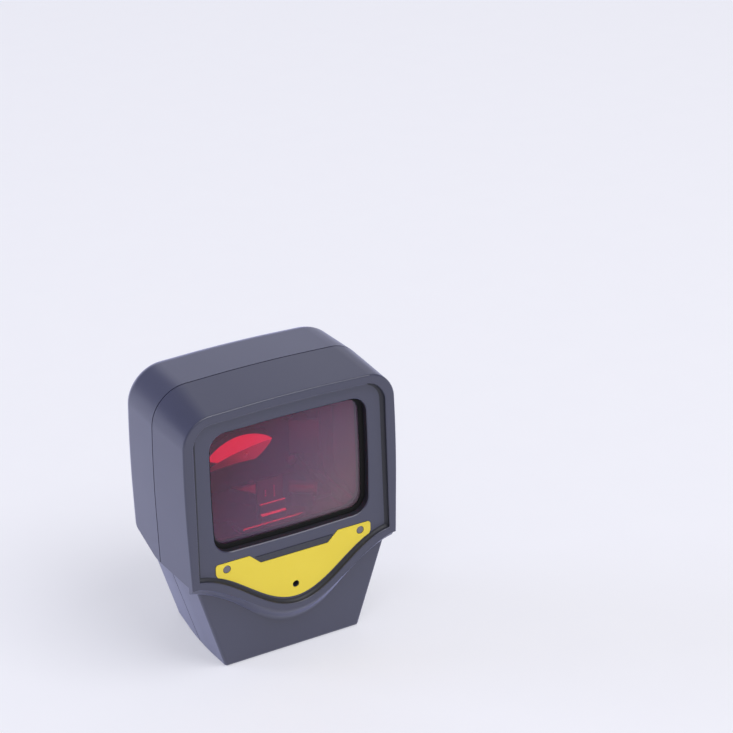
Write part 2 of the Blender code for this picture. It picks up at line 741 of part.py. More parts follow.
def make_shell_bosses(front, rear, rebate):
    """Screw bosses that join the two shells, with counterbores from the back."""
    for number, x, z in at_mirrored_places((SHELL_BOSS_HIGH, SHELL_BOSS_LOW)):
        start = front_y(z, PANEL_DEPTH)
        boss = add_boss(front, f"front_boss_{number}", x, z, start, SEAM_Y + THROUGH, SHELL_BOSS_R)
        combine(rebate, boss)
        add_boss(rear, f"rear_boss_{number}", x, z, SEAM_Y + GAP / 2, 2 * BACK_Y, SHELL_BOSS_R)
        pilot = rod(f"pilot_{number}", (x, start + 2 * WALL, z), (0, 1, 0), SCREW_R + GAP, BACK_Y, sides=16)
        combine(front.solid, pilot)
        combine(rear.solid, pilot)
        bore_y = SHELL_SCREW_HEAD_Y - GAP
        bore = rod(f"bore_{number}", (x, bore_y, z), (0, 1, 0), SCREW_HEAD_R + GAP, 2 * BACK_Y, sides=16)
        combine(rear.solid, bore)


def make_shells():
    """Front and rear shells of the housing, joined by a lap at the seam."""
    outer = housing_form("outer_form")
    lap_outer = housing_form("lap_outer_form", WALL / 2 - GAP / 2)
    lap_inner = housing_form("lap_inner_form", WALL / 2 + GAP / 2)

    solid = block("front_shell", (-FAR, -FAR, -FAR), (FAR, SEAM_Y - GAP / 2, 2 * FAR), charcoal())
    front = Shell(solid, housing_form("front_cavity", WALL))
    combine(front.solid, outer, "INTERSECT")
    combine(front.solid, lip_form(), "UNION")
    rebate = block("rebate", (-FAR, SEAM_Y - LAP - GAP, -FAR), (FAR, SEAM_Y + THROUGH, 2 * FAR))
    combine(front.solid, combine(rebate, lap_outer, "INTERSECT"))
    tunnel = window_slab("tunnel_form", -TUNNEL_WALL, PANEL_DEPTH, TUNNEL_DEPTH)
    combine(front.cavity, tunnel)

    solid = block("rear_shell", (-FAR, SEAM_Y + GAP / 2, -FAR), (FAR, FAR, 2 * FAR), charcoal())
    rear = Shell(solid, housing_form("rear_cavity", WALL))
    combine(rear.solid, outer, "INTERSECT")
    tongue = block("tongue", (-FAR, SEAM_Y - LAP, -FAR), (FAR, SEAM_Y + WALL, 2 * FAR))
    combine(rear.solid, combine(tongue, lap_inner, "INTERSECT"), "UNION")

    for shell in (front, rear):
        combine(shell.solid, shell.cavity)
    make_shell_bosses(front, rear, rebate)
    combine(front.solid, panel_cutter())
    combine(front.solid, window_cutter())
    return front, rear


def make_window(front):
    """Gasket, pane and retaining frame behind the tunnel."""
    near = TUNNEL_DEPTH + GAP
    black = material("black_silicone", "0c0c0e", 0.8)
    gasket = window_slab("window_gasket", -PANE_OVERLAP, near, near + GASKET_THICKNESS, black)
    inside = window_slab("gasket_cutter", 0, near - THROUGH, near + 2 * GASKET_THICKNESS)
    combine(gasket, inside)

    near += GASKET_THICKNESS + GAP
    red = material("red_acrylic", "b01020", 0.03, transmission=1.0)
    window_slab("window_pane", -PANE_OVERLAP, near, near + PANE_THICKNESS, red)

    near += PANE_THICKNESS + GAP
    far = near + RETAINER_THICKNESS
    retainer = window_slab("window_retainer", -PANE_OVERLAP, near, far, deck_black())
    for side in (1, -1):
        place = (side * RETAINER_EAR_X, RETAINER_EAR_Z)
        y_near, y_far = front_y(RETAINER_EAR_Z, near), front_y(RETAINER_EAR_Z, far)
        name = "right" if side > 0 else "left"
        ear = rod(f"ear_{name}", (place[0], y_near, place[1]), (0, 1, 0), RETAINER_EAR_R, y_far - y_near)
        combine(retainer, ear, "UNION")
        reach, slack = 0.8 * RETAINER_EAR_R, RETAINER_THICKNESS / 10
        low = (side * WINDOW_HALF_WIDTH, y_near + slack, RETAINER_EAR_Z - reach)
        high = (side * RETAINER_EAR_X, y_far - slack, RETAINER_EAR_Z + reach)
        arm = block(f"ear_arm_{name}", [min(a, b) for a, b in zip(low, high)],
                    [max(a, b) for a, b in zip(low, high)])
        combine(retainer, arm, "UNION")
    inside = window_slab("retainer_cutter", RETAINER_LIP, near - THROUGH, far + THROUGH)
    combine(retainer, inside)
    for number, x, z in at_mirrored_places([(RETAINER_EAR_X, RETAINER_EAR_Z)]):
        seat = front_y(z, near) - GAP
        add_boss(front, f"retainer_boss_{number}", x, z, front_y(z, PANEL_DEPTH), seat, RETAINER_EAR_R)
        head_y = front_y(z, far) + GAP
        drill_and_screw(f"retainer_screw_{number}", (front.solid, retainer), (x, head_y, z), (0, -1, 0),
                        BOARD_SCREW_LENGTH)


def drill_and_screw(name, held, head_base, direction, length):
    """A pan-head screw whose shank runs along direction, and its hole in what it holds."""
    direction = Vector(direction)
    base = Vector(head_base)
    hole_start = base - direction * THROUGH
    hole = rod(f"hole_{name}", hole_start, direction, SCREW_R + GAP, length + THROUGH + GAP, sides=16)
    for obj in held:
        combine(obj, hole)
    bm = bmesh.new()
    profile = [
        (SCREW_HEAD_R * 0.55, SCREW_HEAD_HEIGHT),
        (SCREW_HEAD_R * 0.92, SCREW_HEAD_HEIGHT * 0.72),
        (SCREW_HEAD_R, 0),
        (SCREW_R, 0),
        (SCREW_R, -(length - SCREW_R)),
        (SCREW_R * 0.35, -length),
    ]
    points = [bm.verts.new((0, 0, profile[0][1]))]
    points += [bm.verts.new((radius, 0, height)) for radius, height in profile]
    points.append(bm.verts.new((0, 0, profile[-1][1])))
    edges = [bm.edges.new(pair) for pair in zip(points, points[1:])]
    bmesh.ops.spin(bm, geom=points + edges, axis=(0, 0, 1), cent=(0, 0, 0), steps=10, angle=2 * pi)
    bmesh.ops.remove_doubles(bm, verts=bm.verts, dist=0.01 * MM)
    turn = Vector((0, 0, -1)).rotation_difference(direction)
    return add_object(name, bm, zinc(), base, turn)


def make_shell_screws():
    """Four screws that close the housing from the back."""
    for number, x, z in at_mirrored_places((SHELL_BOSS_HIGH, SHELL_BOSS_LOW)):
        drill_and_screw(f"shell_screw_{number}", (), (x, SHELL_SCREW_HEAD_Y, z), (0, -1, 0),
                        SHELL_SCREW_LENGTH)


def make_label(front):
    """Yellow label and the dark band in its notch, in shallow pockets of the panel."""
    back = PANEL_DEPTH + LABEL_POCKET - GAP
    near = back - LABEL_THICKNESS
    yellow = material("yellow_vinyl", "e6c832", 0.4)
    dark = material("dark_vinyl", "33343a", 0.4)
    pieces = (
        ("label_panel", label_corners(), yellow),
        ("label_band", band_corners(), dark),
    )
    made = []
    for name, corners, finish in pieces:
        made.append(loft(name, [panel_ring(corners, near), panel_ring(corners, back)], finish))
        pocket = offset(corners, -0.75 * GAP)
        rings = [panel_ring(pocket, depth) for depth in (PANEL_DEPTH - THROUGH, PANEL_DEPTH + LABEL_POCKET)]
        combine(front.solid, loft(f"{name}_pocket", rings))
    return made[0]


def make_indicators(front, label):
    """Indicator lenses, their diodes, the beeper and the board that carries them."""
    lens_y = front_y(LENS_Z, PANEL_DEPTH - LABEL_THICKNESS)
    smoke = material("smoked_acrylic", "6f6c74", 0.15)
    cream = material("cream_epoxy", "d9d6c8", 0.3)
    for number, x, z in at_mirrored_places([(LENS_X, LENS_Z)]):
        side = "right" if x > 0 else "left"
        hole = rod(f"lens_hole_{side}", (x, lens_y - THROUGH, z), (0, 1, 0), LENS_R + GAP,
                   LENS_LENGTH + 2 * THROUGH)
        combine(front.solid, hole)
        combine(label, hole)
        rod(f"indicator_lens_{side}", (x, lens_y, z), (0, 1, 0), LENS_R, LENS_LENGTH, smoke)
        led_y = INDICATOR_BOARD_Y - GAP - LED_LENGTH
        rod(f"status_led_{side}", (x, led_y, z), (0, 1, 0), LED_R, LED_LENGTH, cream, sides=16)

    sound = rod("sound_hole", (0, front_y(SOUND_HOLE_Z, 0), SOUND_HOLE_Z), (0, 1, 0), SOUND_HOLE_R,
                PANEL_DEPTH + WALL + THROUGH)
    combine(front.solid, sound)
    combine(label, sound)
    beeper_y = INDICATOR_BOARD_Y - GAP - BEEPER_LENGTH
    black = material("black_phenolic", "121214", 0.5)
    rod("beeper", (0, beeper_y, SOUND_HOLE_Z), (0, 1, 0), BEEPER_R, BEEPER_LENGTH, black, sides=28)

    half, low = LENS_X + INDICATOR_SIDE_MARGIN, LENS_Z - INDICATOR_LOW_MARGIN
    right = [
        (INDICATOR_TONGUE_HALF_WIDTH, SOUND_HOLE_Z - INDICATOR_TONGUE_MARGIN, BOARD_CORNER_R, 2),
        (INDICATOR_TONGUE_HALF_WIDTH, low, BOARD_CORNER_R, 2),
        (half, low, BOARD_CORNER_R, 2),
        (half, LENS_Z + INDICATOR_TOP_MARGIN, BOARD_CORNER_R, 2),
    ]
    outline = rounded(mirrored(right))
    ys = (INDICATOR_BOARD_Y, INDICATOR_BOARD_Y + BOARD_THICKNESS)
    board = loft("indicator_board", [[Vector((p.x, y, p.y)) for p in outline] for y in ys], board_green())
    boss = (LENS_X - INDICATOR_BOSS_SPACING, LENS_Z - INDICATOR_BOSS_DROP)
    for number, x, z in at_mirrored_places([boss]):
        seat = INDICATOR_BOARD_Y - GAP
        add_boss(front, f"indicator_boss_{number}", x, z, front_y(z, PANEL_DEPTH), seat, BOARD_POST_R)
        head_y = ys[1] + GAP
        drill_and_screw(f"indicator_screw_{number}", (front.solid, board), (x, head_y, z), (0, -1, 0),
                        BOARD_SCREW_LENGTH)


def fold_places():
    """Name, centre and outward angle of each fixed mirror in the fan."""
    for k, name in enumerate(FOLD_NAMES):
        angle = k * pi / (len(FOLD_NAMES) - 1)
        centre = Vector((FAN_HALF_WIDTH * cos(angle), FAN_Y, FAN_Z + FAN_HEIGHT * sin(angle)))
        yield name, centre, angle


def fold_turn(angle):
    """Turn a mirror so that its face looks forwards and towards the middle of the fan."""
    outward = Matrix.Rotation(-angle, 4, "Y")
    return outward @ Matrix.Rotation(-FOLD_TILT, 4, "Z")


def turned_block(name, low, high, turn, centre, finish=None):
    """Box between two corners of a turned frame."""
    low, high = Vector(low), Vector(high)
    bm = bmesh.new()
    bmesh.ops.create_cube(bm, size=1)
    bmesh.ops.scale(bm, vec=high - low, verts=bm.verts)
    bmesh.ops.translate(bm, vec=(low + high) / 2, verts=bm.verts)
    return add_object(name, bm, finish, centre, turn)


def collector_outline(inset):
    """Pointed lens shape between two arcs."""
    half, height = COLLECTOR_HALF_WIDTH - inset, COLLECTOR_HALF_HEIGHT - inset
    steps = 14
    turns = [pi * k / steps for k in range(steps + 1)]
    upper = [Vector((half * cos(turn), height * sin(turn) ** 1.5)) for turn in turns]
    lower = [Vector((-p.x, -p.y)) for p in upper[1:-1]]
    return upper + lower


def collector_slab(name, inset, near, far, finish=None):
    """Solid with the collector's outline, at its place."""
    outline = collector_outline(inset)
    rings = [[Vector((p.x, y, p.y)) for p in outline] for y in (near, far)]
    obj = loft(name, rings, finish)
    obj.location = (0, COLLECTOR_Y, COLLECTOR_Z)
    return obj


def collector_dish():
    """Shallow dome that hollows the collector's face, spun about the mirror's own axis."""
    reach = COLLECTOR_HALF_WIDTH + THROUGH
    bm = bmesh.new()
    points = [bm.verts.new((0, -THROUGH, 0)), bm.verts.new((reach, -THROUGH, 0))]
    steps = 6
    for k in range(steps + 1):
        radius = reach * (1 - k / steps)
        depth = COLLECTOR_DISH - radius ** 2 / (2 * COLLECTOR_CURVE_R)
        points.append(bm.verts.new((radius, depth, 0)))
    edges = [bm.edges.new(pair) for pair in zip(points, points[1:])]
    bmesh.ops.spin(bm, geom=points + edges, axis=(0, 1, 0), cent=(0, 0, 0), steps=24, angle=2 * pi)
    bmesh.ops.remove_doubles(bm, verts=bm.verts, dist=0.01 * MM)
    return add_object("collector_dish", bm, location=(0, COLLECTOR_Y, COLLECTOR_Z))


def make_mirrors(deck):
    """Fixed mirrors of the fan and the concave collecting mirror, with their seats."""
    half = DECK_HALF_WIDTH - GAP
    envelope = block("deck_envelope", (-half, TONGUE_FRONT_Y, SHELF_Z - GAP),
                     (half, DECK_BACK_Y + WALL, DECK_TOP_Z - GAP))
    for name, centre, angle in fold_places():
        turn = fold_turn(angle)
        half_height, half_width = FOLD_HEIGHT / 2, FOLD_WIDTH / 2
        turned_block(f"fold_mirror_{name}", (-half_height, 0, -half_width),
                     (half_height, FOLD_THICKNESS, half_width), turn, centre, mirror_glass())
        half_height -= SEAT_MARGIN
        half_width -= SEAT_MARGIN
        seat = turned_block(f"fold_seat_{name}", (-half_height, FOLD_THICKNESS + GAP, -half_width),
                            (half_height, SEAT_REACH, half_width), turn, centre)
        combine(deck, combine(seat, envelope, "INTERSECT"), "UNION")

    collector = collector_slab("collecting_mirror", 0, 0, COLLECTOR_THICKNESS, mirror_glass())
    combine(collector, collector_dish())
    seat = collector_slab("collector_seat", COLLECTOR_SEAT_INSET, COLLECTOR_THICKNESS + GAP, SEAT_REACH)
    combine(deck, seat, "UNION")


def make_deck(rear):
    """Moulded chassis: shelf, back plate, gussets, mirror seats and screw holes."""
    shelf_low = SHELF_Z - DECK_WALL
    right = [
        (TONGUE_HALF_WIDTH, TONGUE_FRONT_Y, SHELF_CORNER_R, 2),
        (TONGUE_HALF_WIDTH, SHELF_FRONT_Y, SHELF_CORNER_R, 2),
        (SHELF_HALF_WIDTH, SHELF_FRONT_Y, SHELF_CORNER_R, 2),
        (SHELF_HALF_WIDTH, DECK_BACK_Y, 0, 1),
    ]
    outline = rounded(mirrored(right))
    deck = loft("optics_chassis", [[Vector((p.x, p.y, z)) for p in outline] for z in (shelf_low, SHELF_Z)],
                deck_black())
    right = [
        (DECK_HALF_WIDTH, shelf_low, 0, 1),
        (DECK_HALF_WIDTH, DECK_TOP_Z, DECK_CORNER_R, 5),
    ]
    outline = rounded(mirrored(right))
    ys = (DECK_BACK_Y - DECK_WALL, DECK_BACK_Y)
    plate = loft("deck_plate", [[Vector((p.x, y, p.y)) for p in outline] for y in ys])
    combine(deck, plate, "UNION")
    for side in (1, -1):
        near, far = side * (DECK_HALF_WIDTH - 2 * DECK_WALL), side * (DECK_HALF_WIDTH - DECK_WALL)
        triangle = ((SHELF_FRONT_Y + WALL, SHELF_Z - GAP), (DECK_BACK_Y - GAP, SHELF_Z - GAP),
                    (DECK_BACK_Y - GAP, SHELF_Z + GUSSET_HEIGHT))
        gusset = loft(f"gusset_{side}", [[Vector((x, y, z)) for y, z in triangle] for x in (near, far)])
        combine(deck, gusset, "UNION")
    make_mirrors(deck)
    behind = block("behind_deck", (-FAR, DECK_BACK_Y, 0), (FAR, DECK_BACK_Y + FAR, 2 * FAR))
    combine(deck, behind)
    for number, x, z in at_mirrored_places((CHASSIS_POST_LOW, CHASSIS_POST_HIGH)):
        add_boss(rear, f"chassis_post_{number}", x, z, DECK_BACK_Y + GAP, 2 * BACK_Y, CHASSIS_POST_R)
        head_y = DECK_BACK_Y - DECK_WALL - GAP
        head_hole = rod(f"head_room_{number}", (x, TONGUE_FRONT_Y, z), (0, 1, 0), SCREW_HEAD_R + GAP,
                        head_y + GAP / 2 - TONGUE_FRONT_Y)
        combine(deck, head_hole)
        drill_and_screw(f"chassis_screw_{number}", (deck, rear.solid), (x, head_y, z), (0, 1, 0),
                        DECK_SCREW_LENGTH)
    return deck


def wheel_ring(z, grow):
    """Section of the mirror wheel; each facet leans by its own small angle."""
    count = WHEEL_FACETS
    lines = []
    for k in range(count):
        lean = (k - (count - 1) / 2) * FACET_STEP
        lines.append((2 * pi * k / count, WHEEL_R + grow * tan(lean)))
    ring = []
    for (a, da), (b, db) in zip(lines, lines[1:] + lines[:1]):
        denominator = sin(b - a)
        x = (da * sin(b) - db * sin(a)) / denominator
        y = (db * cos(a) - da * cos(b)) / denominator
        ring.append(Vector((x, y, z)))
    return ring


def make_wheel(deck):
    """Motor, bearing, shaft and the spinning mirror wheel."""
    axis = Vector((0, SPIN_Y, 0))
    shelf_low = SHELF_Z - DECK_WALL
    motor_low = shelf_low - GAP - MOTOR_HEIGHT
    motor = rod("spin_motor", axis + Vector((0, 0, motor_low)), (0, 0, 1), MOTOR_R, MOTOR_HEIGHT, zinc(),
                sides=32)
    bore_low = motor_low + MOTOR_FOOT
    running = SHAFT_R + GAP
    bore = rod("motor_bore", axis + Vector((0, 0, bore_low)), (0, 0, 1), running, MOTOR_HEIGHT)
    combine(motor, bore)

    well = rod("bearing_well", axis + Vector((0, 0, shelf_low - THROUGH)), (0, 0, 1), BEARING_R + GAP,
               DECK_WALL + 2 * THROUGH, sides=28)
    combine(deck, well)
    bronze = material("sintered_bronze", "9a7a4a", 0.45, metallic=1.0)
    bearing = rod("motor_bearing", axis + Vector((0, 0, shelf_low)), (0, 0, 1), BEARING_R, BEARING_HEIGHT,
                  bronze, sides=28)
    bearing_bore = rod("bearing_bore", axis + Vector((0, 0, shelf_low - THROUGH)), (0, 0, 1), running,
                       BEARING_HEIGHT + 2 * THROUGH)
    combine(bearing, bearing_bore)

    shaft_low = bore_low + GAP
    steel = material("ground_steel", "c4c7cb", 0.25, metallic=1.0)
    rod("motor_shaft", axis + Vector((0, 0, shaft_low)), (0, 0, 1), SHAFT_R, SHAFT_LENGTH, steel)

    half = WHEEL_HEIGHT / 2
    silver = material("diamond_cut_aluminium", "dfe2e6", 0.08, metallic=1.0)
    wheel = loft("mirror_wheel", [wheel_ring(-half, -half), wheel_ring(half, half)], silver)
    wheel.location = axis + Vector((0, 0, WHEEL_LOW_Z + half))
    hub = rod("wheel_hub", axis + Vector((0, 0, WHEEL_LOW_Z - HUB_HEIGHT)), (0, 0, 1), HUB_R,
              HUB_HEIGHT + half)
    combine(wheel, hub, "UNION")
    wheel_bore = rod("wheel_bore", axis + Vector((0, 0, WHEEL_LOW_Z - 2 * HUB_HEIGHT)), (0, 0, 1), running,
                     WHEEL_HEIGHT + 4 * HUB_HEIGHT)
    combine(wheel, wheel_bore)


def make_laser():
    """Laser tube on its block, aimed at the axis of the wheel."""
    beam_z = WHEEL_LOW_Z + WHEEL_HEIGHT / 2
    place = Vector((LASER_X, LASER_Y, beam_z))
    aim = (Vector((0, SPIN_Y, beam_z)) - place).normalized()
    brass = material("machined_brass", "b08d4a", 0.3, metallic=1.0)
    laser = rod("laser_module", place - aim * LASER_LENGTH / 2, aim, LASER_R, LASER_LENGTH, brass, sides=24)
    aperture = rod("laser_aperture", place + aim * (LASER_LENGTH / 2 - LASER_APERTURE_DEPTH), aim,
                   LASER_APERTURE_R, LASER_APERTURE_DEPTH + THROUGH, sides=16)
    combine(laser, aperture)
    turn = Matrix.Rotation(atan2(aim.y, aim.x), 4, "Z")
    half = LASER_MOUNT_WIDTH / 2
    low = (-half, -half, SHELF_Z + GAP - beam_z)
    mount = turned_block("laser_mount", low, (half, half, 0), turn, place,
                         material("cast_aluminium", "77797d", 0.45, metallic=1.0))
    groove = rod("laser_groove", place - aim * LASER_LENGTH, aim, LASER_R + GAP, 2 * LASER_LENGTH, sides=24)
    combine(mount, groove)


def make_sensor():
    """Light sensor on its small board, held by a stepped bracket at the tongue of the shelf."""
    floor = SHELF_Z + GAP
    front = TONGUE_FRONT_Y
    back = front + BRACKET_DEPTH
    step = SHELF_Z + BRACKET_STEP_RISE
    top = SHELF_Z + BRACKET_RISE
    half = SENSOR_HALF_WIDTH
    grey = material("grey_abs", "4a4b50", 0.4)
    bracket = block("sensor_bracket", (-half, front, floor), (half, back, step), grey)
    upright = block("bracket_upright", (-half, front + BRACKET_STEP, floor + GAP), (half, back, top))
    combine(bracket, upright, "UNION")
    slot = block("bracket_slot", (-half / 2, front - THROUGH, step + BRACKET_BAR),
                 (half / 2, back + THROUGH, top - BRACKET_BAR))
    combine(bracket, slot)
    board_back = SENSOR_BOARD_Y + BOARD_THICKNESS
    board_top = SHELF_Z + SENSOR_BOARD_HEIGHT
    block("sensor_board", (-half, SENSOR_BOARD_Y, floor), (half, board_back, board_top), board_green())
    rod("photodiode", (0, board_back + GAP, board_top - PHOTODIODE_DROP), (0, 1, 0), PHOTODIODE_R,
        PHOTODIODE_LENGTH, material("filter_glass", "3a1420", 0.1), sides=20)


def make_main_board(rear):
    """Main board with its decoder chip, plug and the cable socket in the base."""
    half = MAIN_BOARD_HALF_WIDTH
    back = MAIN_BOARD_Y + BOARD_THICKNESS
    board = block("main_board", (-half, MAIN_BOARD_Y, MAIN_BOARD_LOW_Z), (half, back, MAIN_BOARD_TOP_Z),
                  board_green())
    for number, x, z in at_mirrored_places((BOARD_POST_LOW, BOARD_POST_HIGH)):
        add_boss(rear, f"board_post_{number}", x, z, back + GAP, 2 * BACK_Y, BOARD_POST_R)
        drill_and_screw(f"board_screw_{number}", (board, rear.solid), (x, MAIN_BOARD_Y - GAP, z), (0, 1, 0),
                        BOARD_SCREW_LENGTH)
    epoxy = material("black_epoxy", "1a1a1c", 0.5)
    chip = CHIP_SIZE / 2
    chip_back = MAIN_BOARD_Y - GAP
    block("decoder_chip", (-chip, chip_back - CHIP_THICKNESS, CHIP_Z - chip),
          (chip, chip_back, CHIP_Z + chip), epoxy, bevel=CHIP_EDGE)
    plug = PLUG_WIDTH / 2
    nylon = material("cream_nylon", "d8d2be", 0.5)
    block("ribbon_connector", (-plug, chip_back - PLUG_DEPTH, PLUG_Z - PLUG_HEIGHT / 2),
          (plug, chip_back, PLUG_Z + PLUG_HEIGHT / 2), nylon, bevel=PLUG_EDGE)

    socket_low = WALL + GAP
    socket_y = chip_back - SOCKET_DEPTH
    wide = SOCKET_HALF_WIDTH
    socket_high = socket_low + SOCKET_HEIGHT
    socket = block("cable_socket", (-wide, socket_y, socket_low), (wide, chip_back, socket_high), epoxy)
    low = (SOCKET_WALL - wide, socket_y + SOCKET_WALL, -THROUGH)
    high = (wide - SOCKET_WALL, chip_back - SOCKET_WALL, socket_high - SOCKET_WALL)
    mouth = block("socket_mouth", low, high)
    combine(socket, mouth)
    combine(rear.solid, mouth)


def main():
    start_scene()
    front, rear = make_shells()
    make_window(front)
    label = make_label(front)
    make_indicators(front, label)
    deck = make_deck(rear)
    make_wheel(deck)
    make_laser()
    make_sensor()
    make_main_board(rear)
    make_shell_screws()


main()
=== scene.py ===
# %% [markdown]
# # Desktop barcode scanner head
# A moulded charcoal housing holds a dark red window. Behind it a small motor turns a wheel of
# mirrors, and a fan of fixed mirrors throws the laser line out in many directions. The CAD model
# already has every piece in its real place, so this lesson only makes the surfaces that the eye
# reads: soft moulded edges, the S-shaped lip, the printed label and the deep window.

from math import cos, pi, radians, sin, tan

import bmesh
import bpy
from mathutils import Euler, Matrix, Vector


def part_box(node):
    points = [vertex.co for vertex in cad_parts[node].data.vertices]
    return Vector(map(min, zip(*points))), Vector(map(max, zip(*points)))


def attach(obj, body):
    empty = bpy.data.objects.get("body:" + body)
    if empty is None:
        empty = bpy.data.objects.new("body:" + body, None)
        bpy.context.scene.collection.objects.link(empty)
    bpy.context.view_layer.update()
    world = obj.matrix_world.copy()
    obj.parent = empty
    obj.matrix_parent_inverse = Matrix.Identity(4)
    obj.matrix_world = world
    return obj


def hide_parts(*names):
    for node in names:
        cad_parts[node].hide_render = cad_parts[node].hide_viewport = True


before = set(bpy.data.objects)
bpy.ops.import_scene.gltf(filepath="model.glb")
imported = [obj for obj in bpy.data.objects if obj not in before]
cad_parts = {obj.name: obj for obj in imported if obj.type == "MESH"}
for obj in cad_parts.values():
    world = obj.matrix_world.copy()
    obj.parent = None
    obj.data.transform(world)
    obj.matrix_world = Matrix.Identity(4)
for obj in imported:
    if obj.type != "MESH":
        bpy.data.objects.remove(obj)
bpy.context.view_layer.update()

# %% [markdown]
# ## Camera
# A real photograph has a viewpoint, a tilt and a lens. These numbers were fitted to the corners of
# the housing: a long lens about a metre away, from the left and from above, tilted by half a degree.

# %% The camera
MM = 0.001
CAMERA_PLACE = Vector((-432.482, -833.508, 564.076)) * MM
CAMERA_TURN = Euler((radians(65.0654), radians(0.5031), radians(-30.861)))
LENS_LENGTH = 112.766

camera_data = bpy.data.cameras.new("camera")
camera_data.sensor_width = 36
camera_data.lens = LENS_LENGTH
camera = bpy.data.objects.new("camera", camera_data)
camera.location = CAMERA_PLACE
camera.rotation_euler = CAMERA_TURN
bpy.context.scene.collection.objects.link(camera)
bpy.context.scene.camera = camera
bpy.context.scene.view_settings.view_transform = "Standard"
print("camera", round(CAMERA_PLACE.length / MM), "mm from the origin")

# %% [markdown]
# ## Node helper and colours
# Shaders work in linear light, while a colour given in hex is written as sRGB, so one function
# turns a hex value into linear numbers. One more function adds a shader node with its settings and
# its links, which keeps each material below short enough to read in one look.

# %% Helpers for materials
def linear_rgb(hex_colour):
    """Linear red, green, blue and alpha of an sRGB hex colour."""
    channels = [int(hex_colour[i:i + 2], 16) / 255 for i in (0, 2, 4)]
    return [c / 12.92 if c <= 0.04045 else ((c + 0.055) / 1.055) ** 2.4 for c in channels] + [1.0]


def add_node(tree, kind, inputs=(), **settings):
    """Add a node; inputs are (socket, value or output) pairs, settings are its own properties."""
    node = tree.nodes.new(kind)
    for name, value in settings.items():
        setattr(node, name, value)
    for socket, value in inputs:
        if isinstance(value, bpy.types.NodeSocket):
            tree.links.new(value, node.inputs[socket])
        else:
            node.inputs[socket].default_value = value
    return node


def start_material(name, inputs):
    """A material with one Principled shader; returns the material, its tree and the shader."""
    made = bpy.data.materials.new(name)
    made.use_nodes = True
    shader = made.node_tree.nodes["Principled BSDF"]
    for socket, value in inputs:
        shader.inputs[socket].default_value = value
    return made, made.node_tree, shader


# %% [markdown]
# ## Floor and light
# The object stands on a white sheet in a pale room. The sheet is a real floor, so that it keeps the
# shadow, and a share of plain glow makes it near white for the camera, for gloss and through glass.
# Diffuse surfaces get the same plain light from all sides. Glossy ones mirror a room that is bright
# near the horizon and dimmer overhead, so faces that look up stay darker than the sides. Far, wide
# softboxes add the highlights; they stand four metres away, so that the sheet is lit evenly. The
# left one lights the side but isn't mirrored in it, because the rear of the top would glare.

# %% Floor, world and lamps
ROOM_COLOUR = "f4f4fd"
AMBIENT = 0.45
FLOOR_COLOUR = "f6f6fd"
ROOM_LOW, ROOM_HIGH = 0.95, 0.28
LOW_HEIGHT, HIGH_HEIGHT = 0.0, 0.24
GLOW_SHARE, GLOW = 0.45, 0.98
FLOOR_HALF = 12.0
LAMP_DISTANCE = 4.0
MIDDLE = Vector((0, 0, 0.07))


def make_floor():
    """White sheet under the object."""
    bm = bmesh.new()
    bmesh.ops.create_grid(bm, x_segments=1, y_segments=1, size=FLOOR_HALF)
    mesh = bpy.data.meshes.new("floor")
    bm.to_mesh(mesh)
    bm.free()
    floor = bpy.data.objects.new("floor", mesh)
    bpy.context.scene.collection.objects.link(floor)
    # Paper scatters light evenly, so it shows soft shadows and no highlight.
    paper, tree, shader = start_material("matt_paper_sheet", (("Roughness", 0.9),))
    place = add_node(tree, "ShaderNodeTexCoord").outputs["Object"]
    fibres = add_node(tree, "ShaderNodeTexNoise", (
        ("Vector", place), ("Scale", 40.0), ("Detail", 3.0)))
    tone = add_node(tree, "ShaderNodeMix", (
        ("Factor", fibres.outputs["Fac"]),
        ("A", linear_rgb(FLOOR_COLOUR)),
        ("B", linear_rgb("f9f9ff")),
    ), data_type="RGBA")
    tree.links.new(tone.outputs["Result"], shader.inputs["Base Color"])
    path = add_node(tree, "ShaderNodeLightPath")
    seen = path.outputs["Is Camera Ray"]
    for kind in ("Is Glossy Ray", "Is Transmission Ray"):
        seen = add_node(tree, "ShaderNodeMath", (
            (0, seen), (1, path.outputs[kind])), operation="MAXIMUM").outputs[0]
    share = add_node(tree, "ShaderNodeMath", ((0, seen), (1, GLOW_SHARE)), operation="MULTIPLY")
    glow = add_node(tree, "ShaderNodeEmission", (
        ("Color", linear_rgb(FLOOR_COLOUR)), ("Strength", GLOW)))
    mixed = add_node(tree, "ShaderNodeMixShader", (
        (0, share.outputs[0]), (1, shader.outputs[0]), (2, glow.outputs[0])))
    tree.links.new(mixed.outputs[0], tree.nodes["Material Output"].inputs["Surface"])
    mesh.materials.append(paper)


def make_room():
    """World that is bright near the horizon and dimmer overhead."""
    world = bpy.data.worlds.new("pale_room")
    bpy.context.scene.world = world
    world.use_nodes = True
    tree = world.node_tree
    tree.nodes.clear()
    place = add_node(tree, "ShaderNodeTexCoord").outputs["Object"]
    height = add_node(tree, "ShaderNodeSeparateXYZ", (("Vector", place),))
    strength = add_node(tree, "ShaderNodeMapRange", (
        ("Value", height.outputs["Z"]), ("From Min", LOW_HEIGHT), ("From Max", HIGH_HEIGHT),
        ("To Min", ROOM_LOW), ("To Max", ROOM_HIGH)), interpolation_type="SMOOTHSTEP")
    path = add_node(tree, "ShaderNodeLightPath")
    level = add_node(tree, "ShaderNodeMix", (
        ("Factor", path.outputs["Is Diffuse Ray"]), ("A", strength.outputs["Result"]),
        ("B", AMBIENT)))
    shine = add_node(tree, "ShaderNodeBackground", (
        ("Color", linear_rgb(ROOM_COLOUR)), ("Strength", level.outputs["Result"])))
    add_node(tree, "ShaderNodeOutputWorld", (("Surface", shine.outputs[0]),))


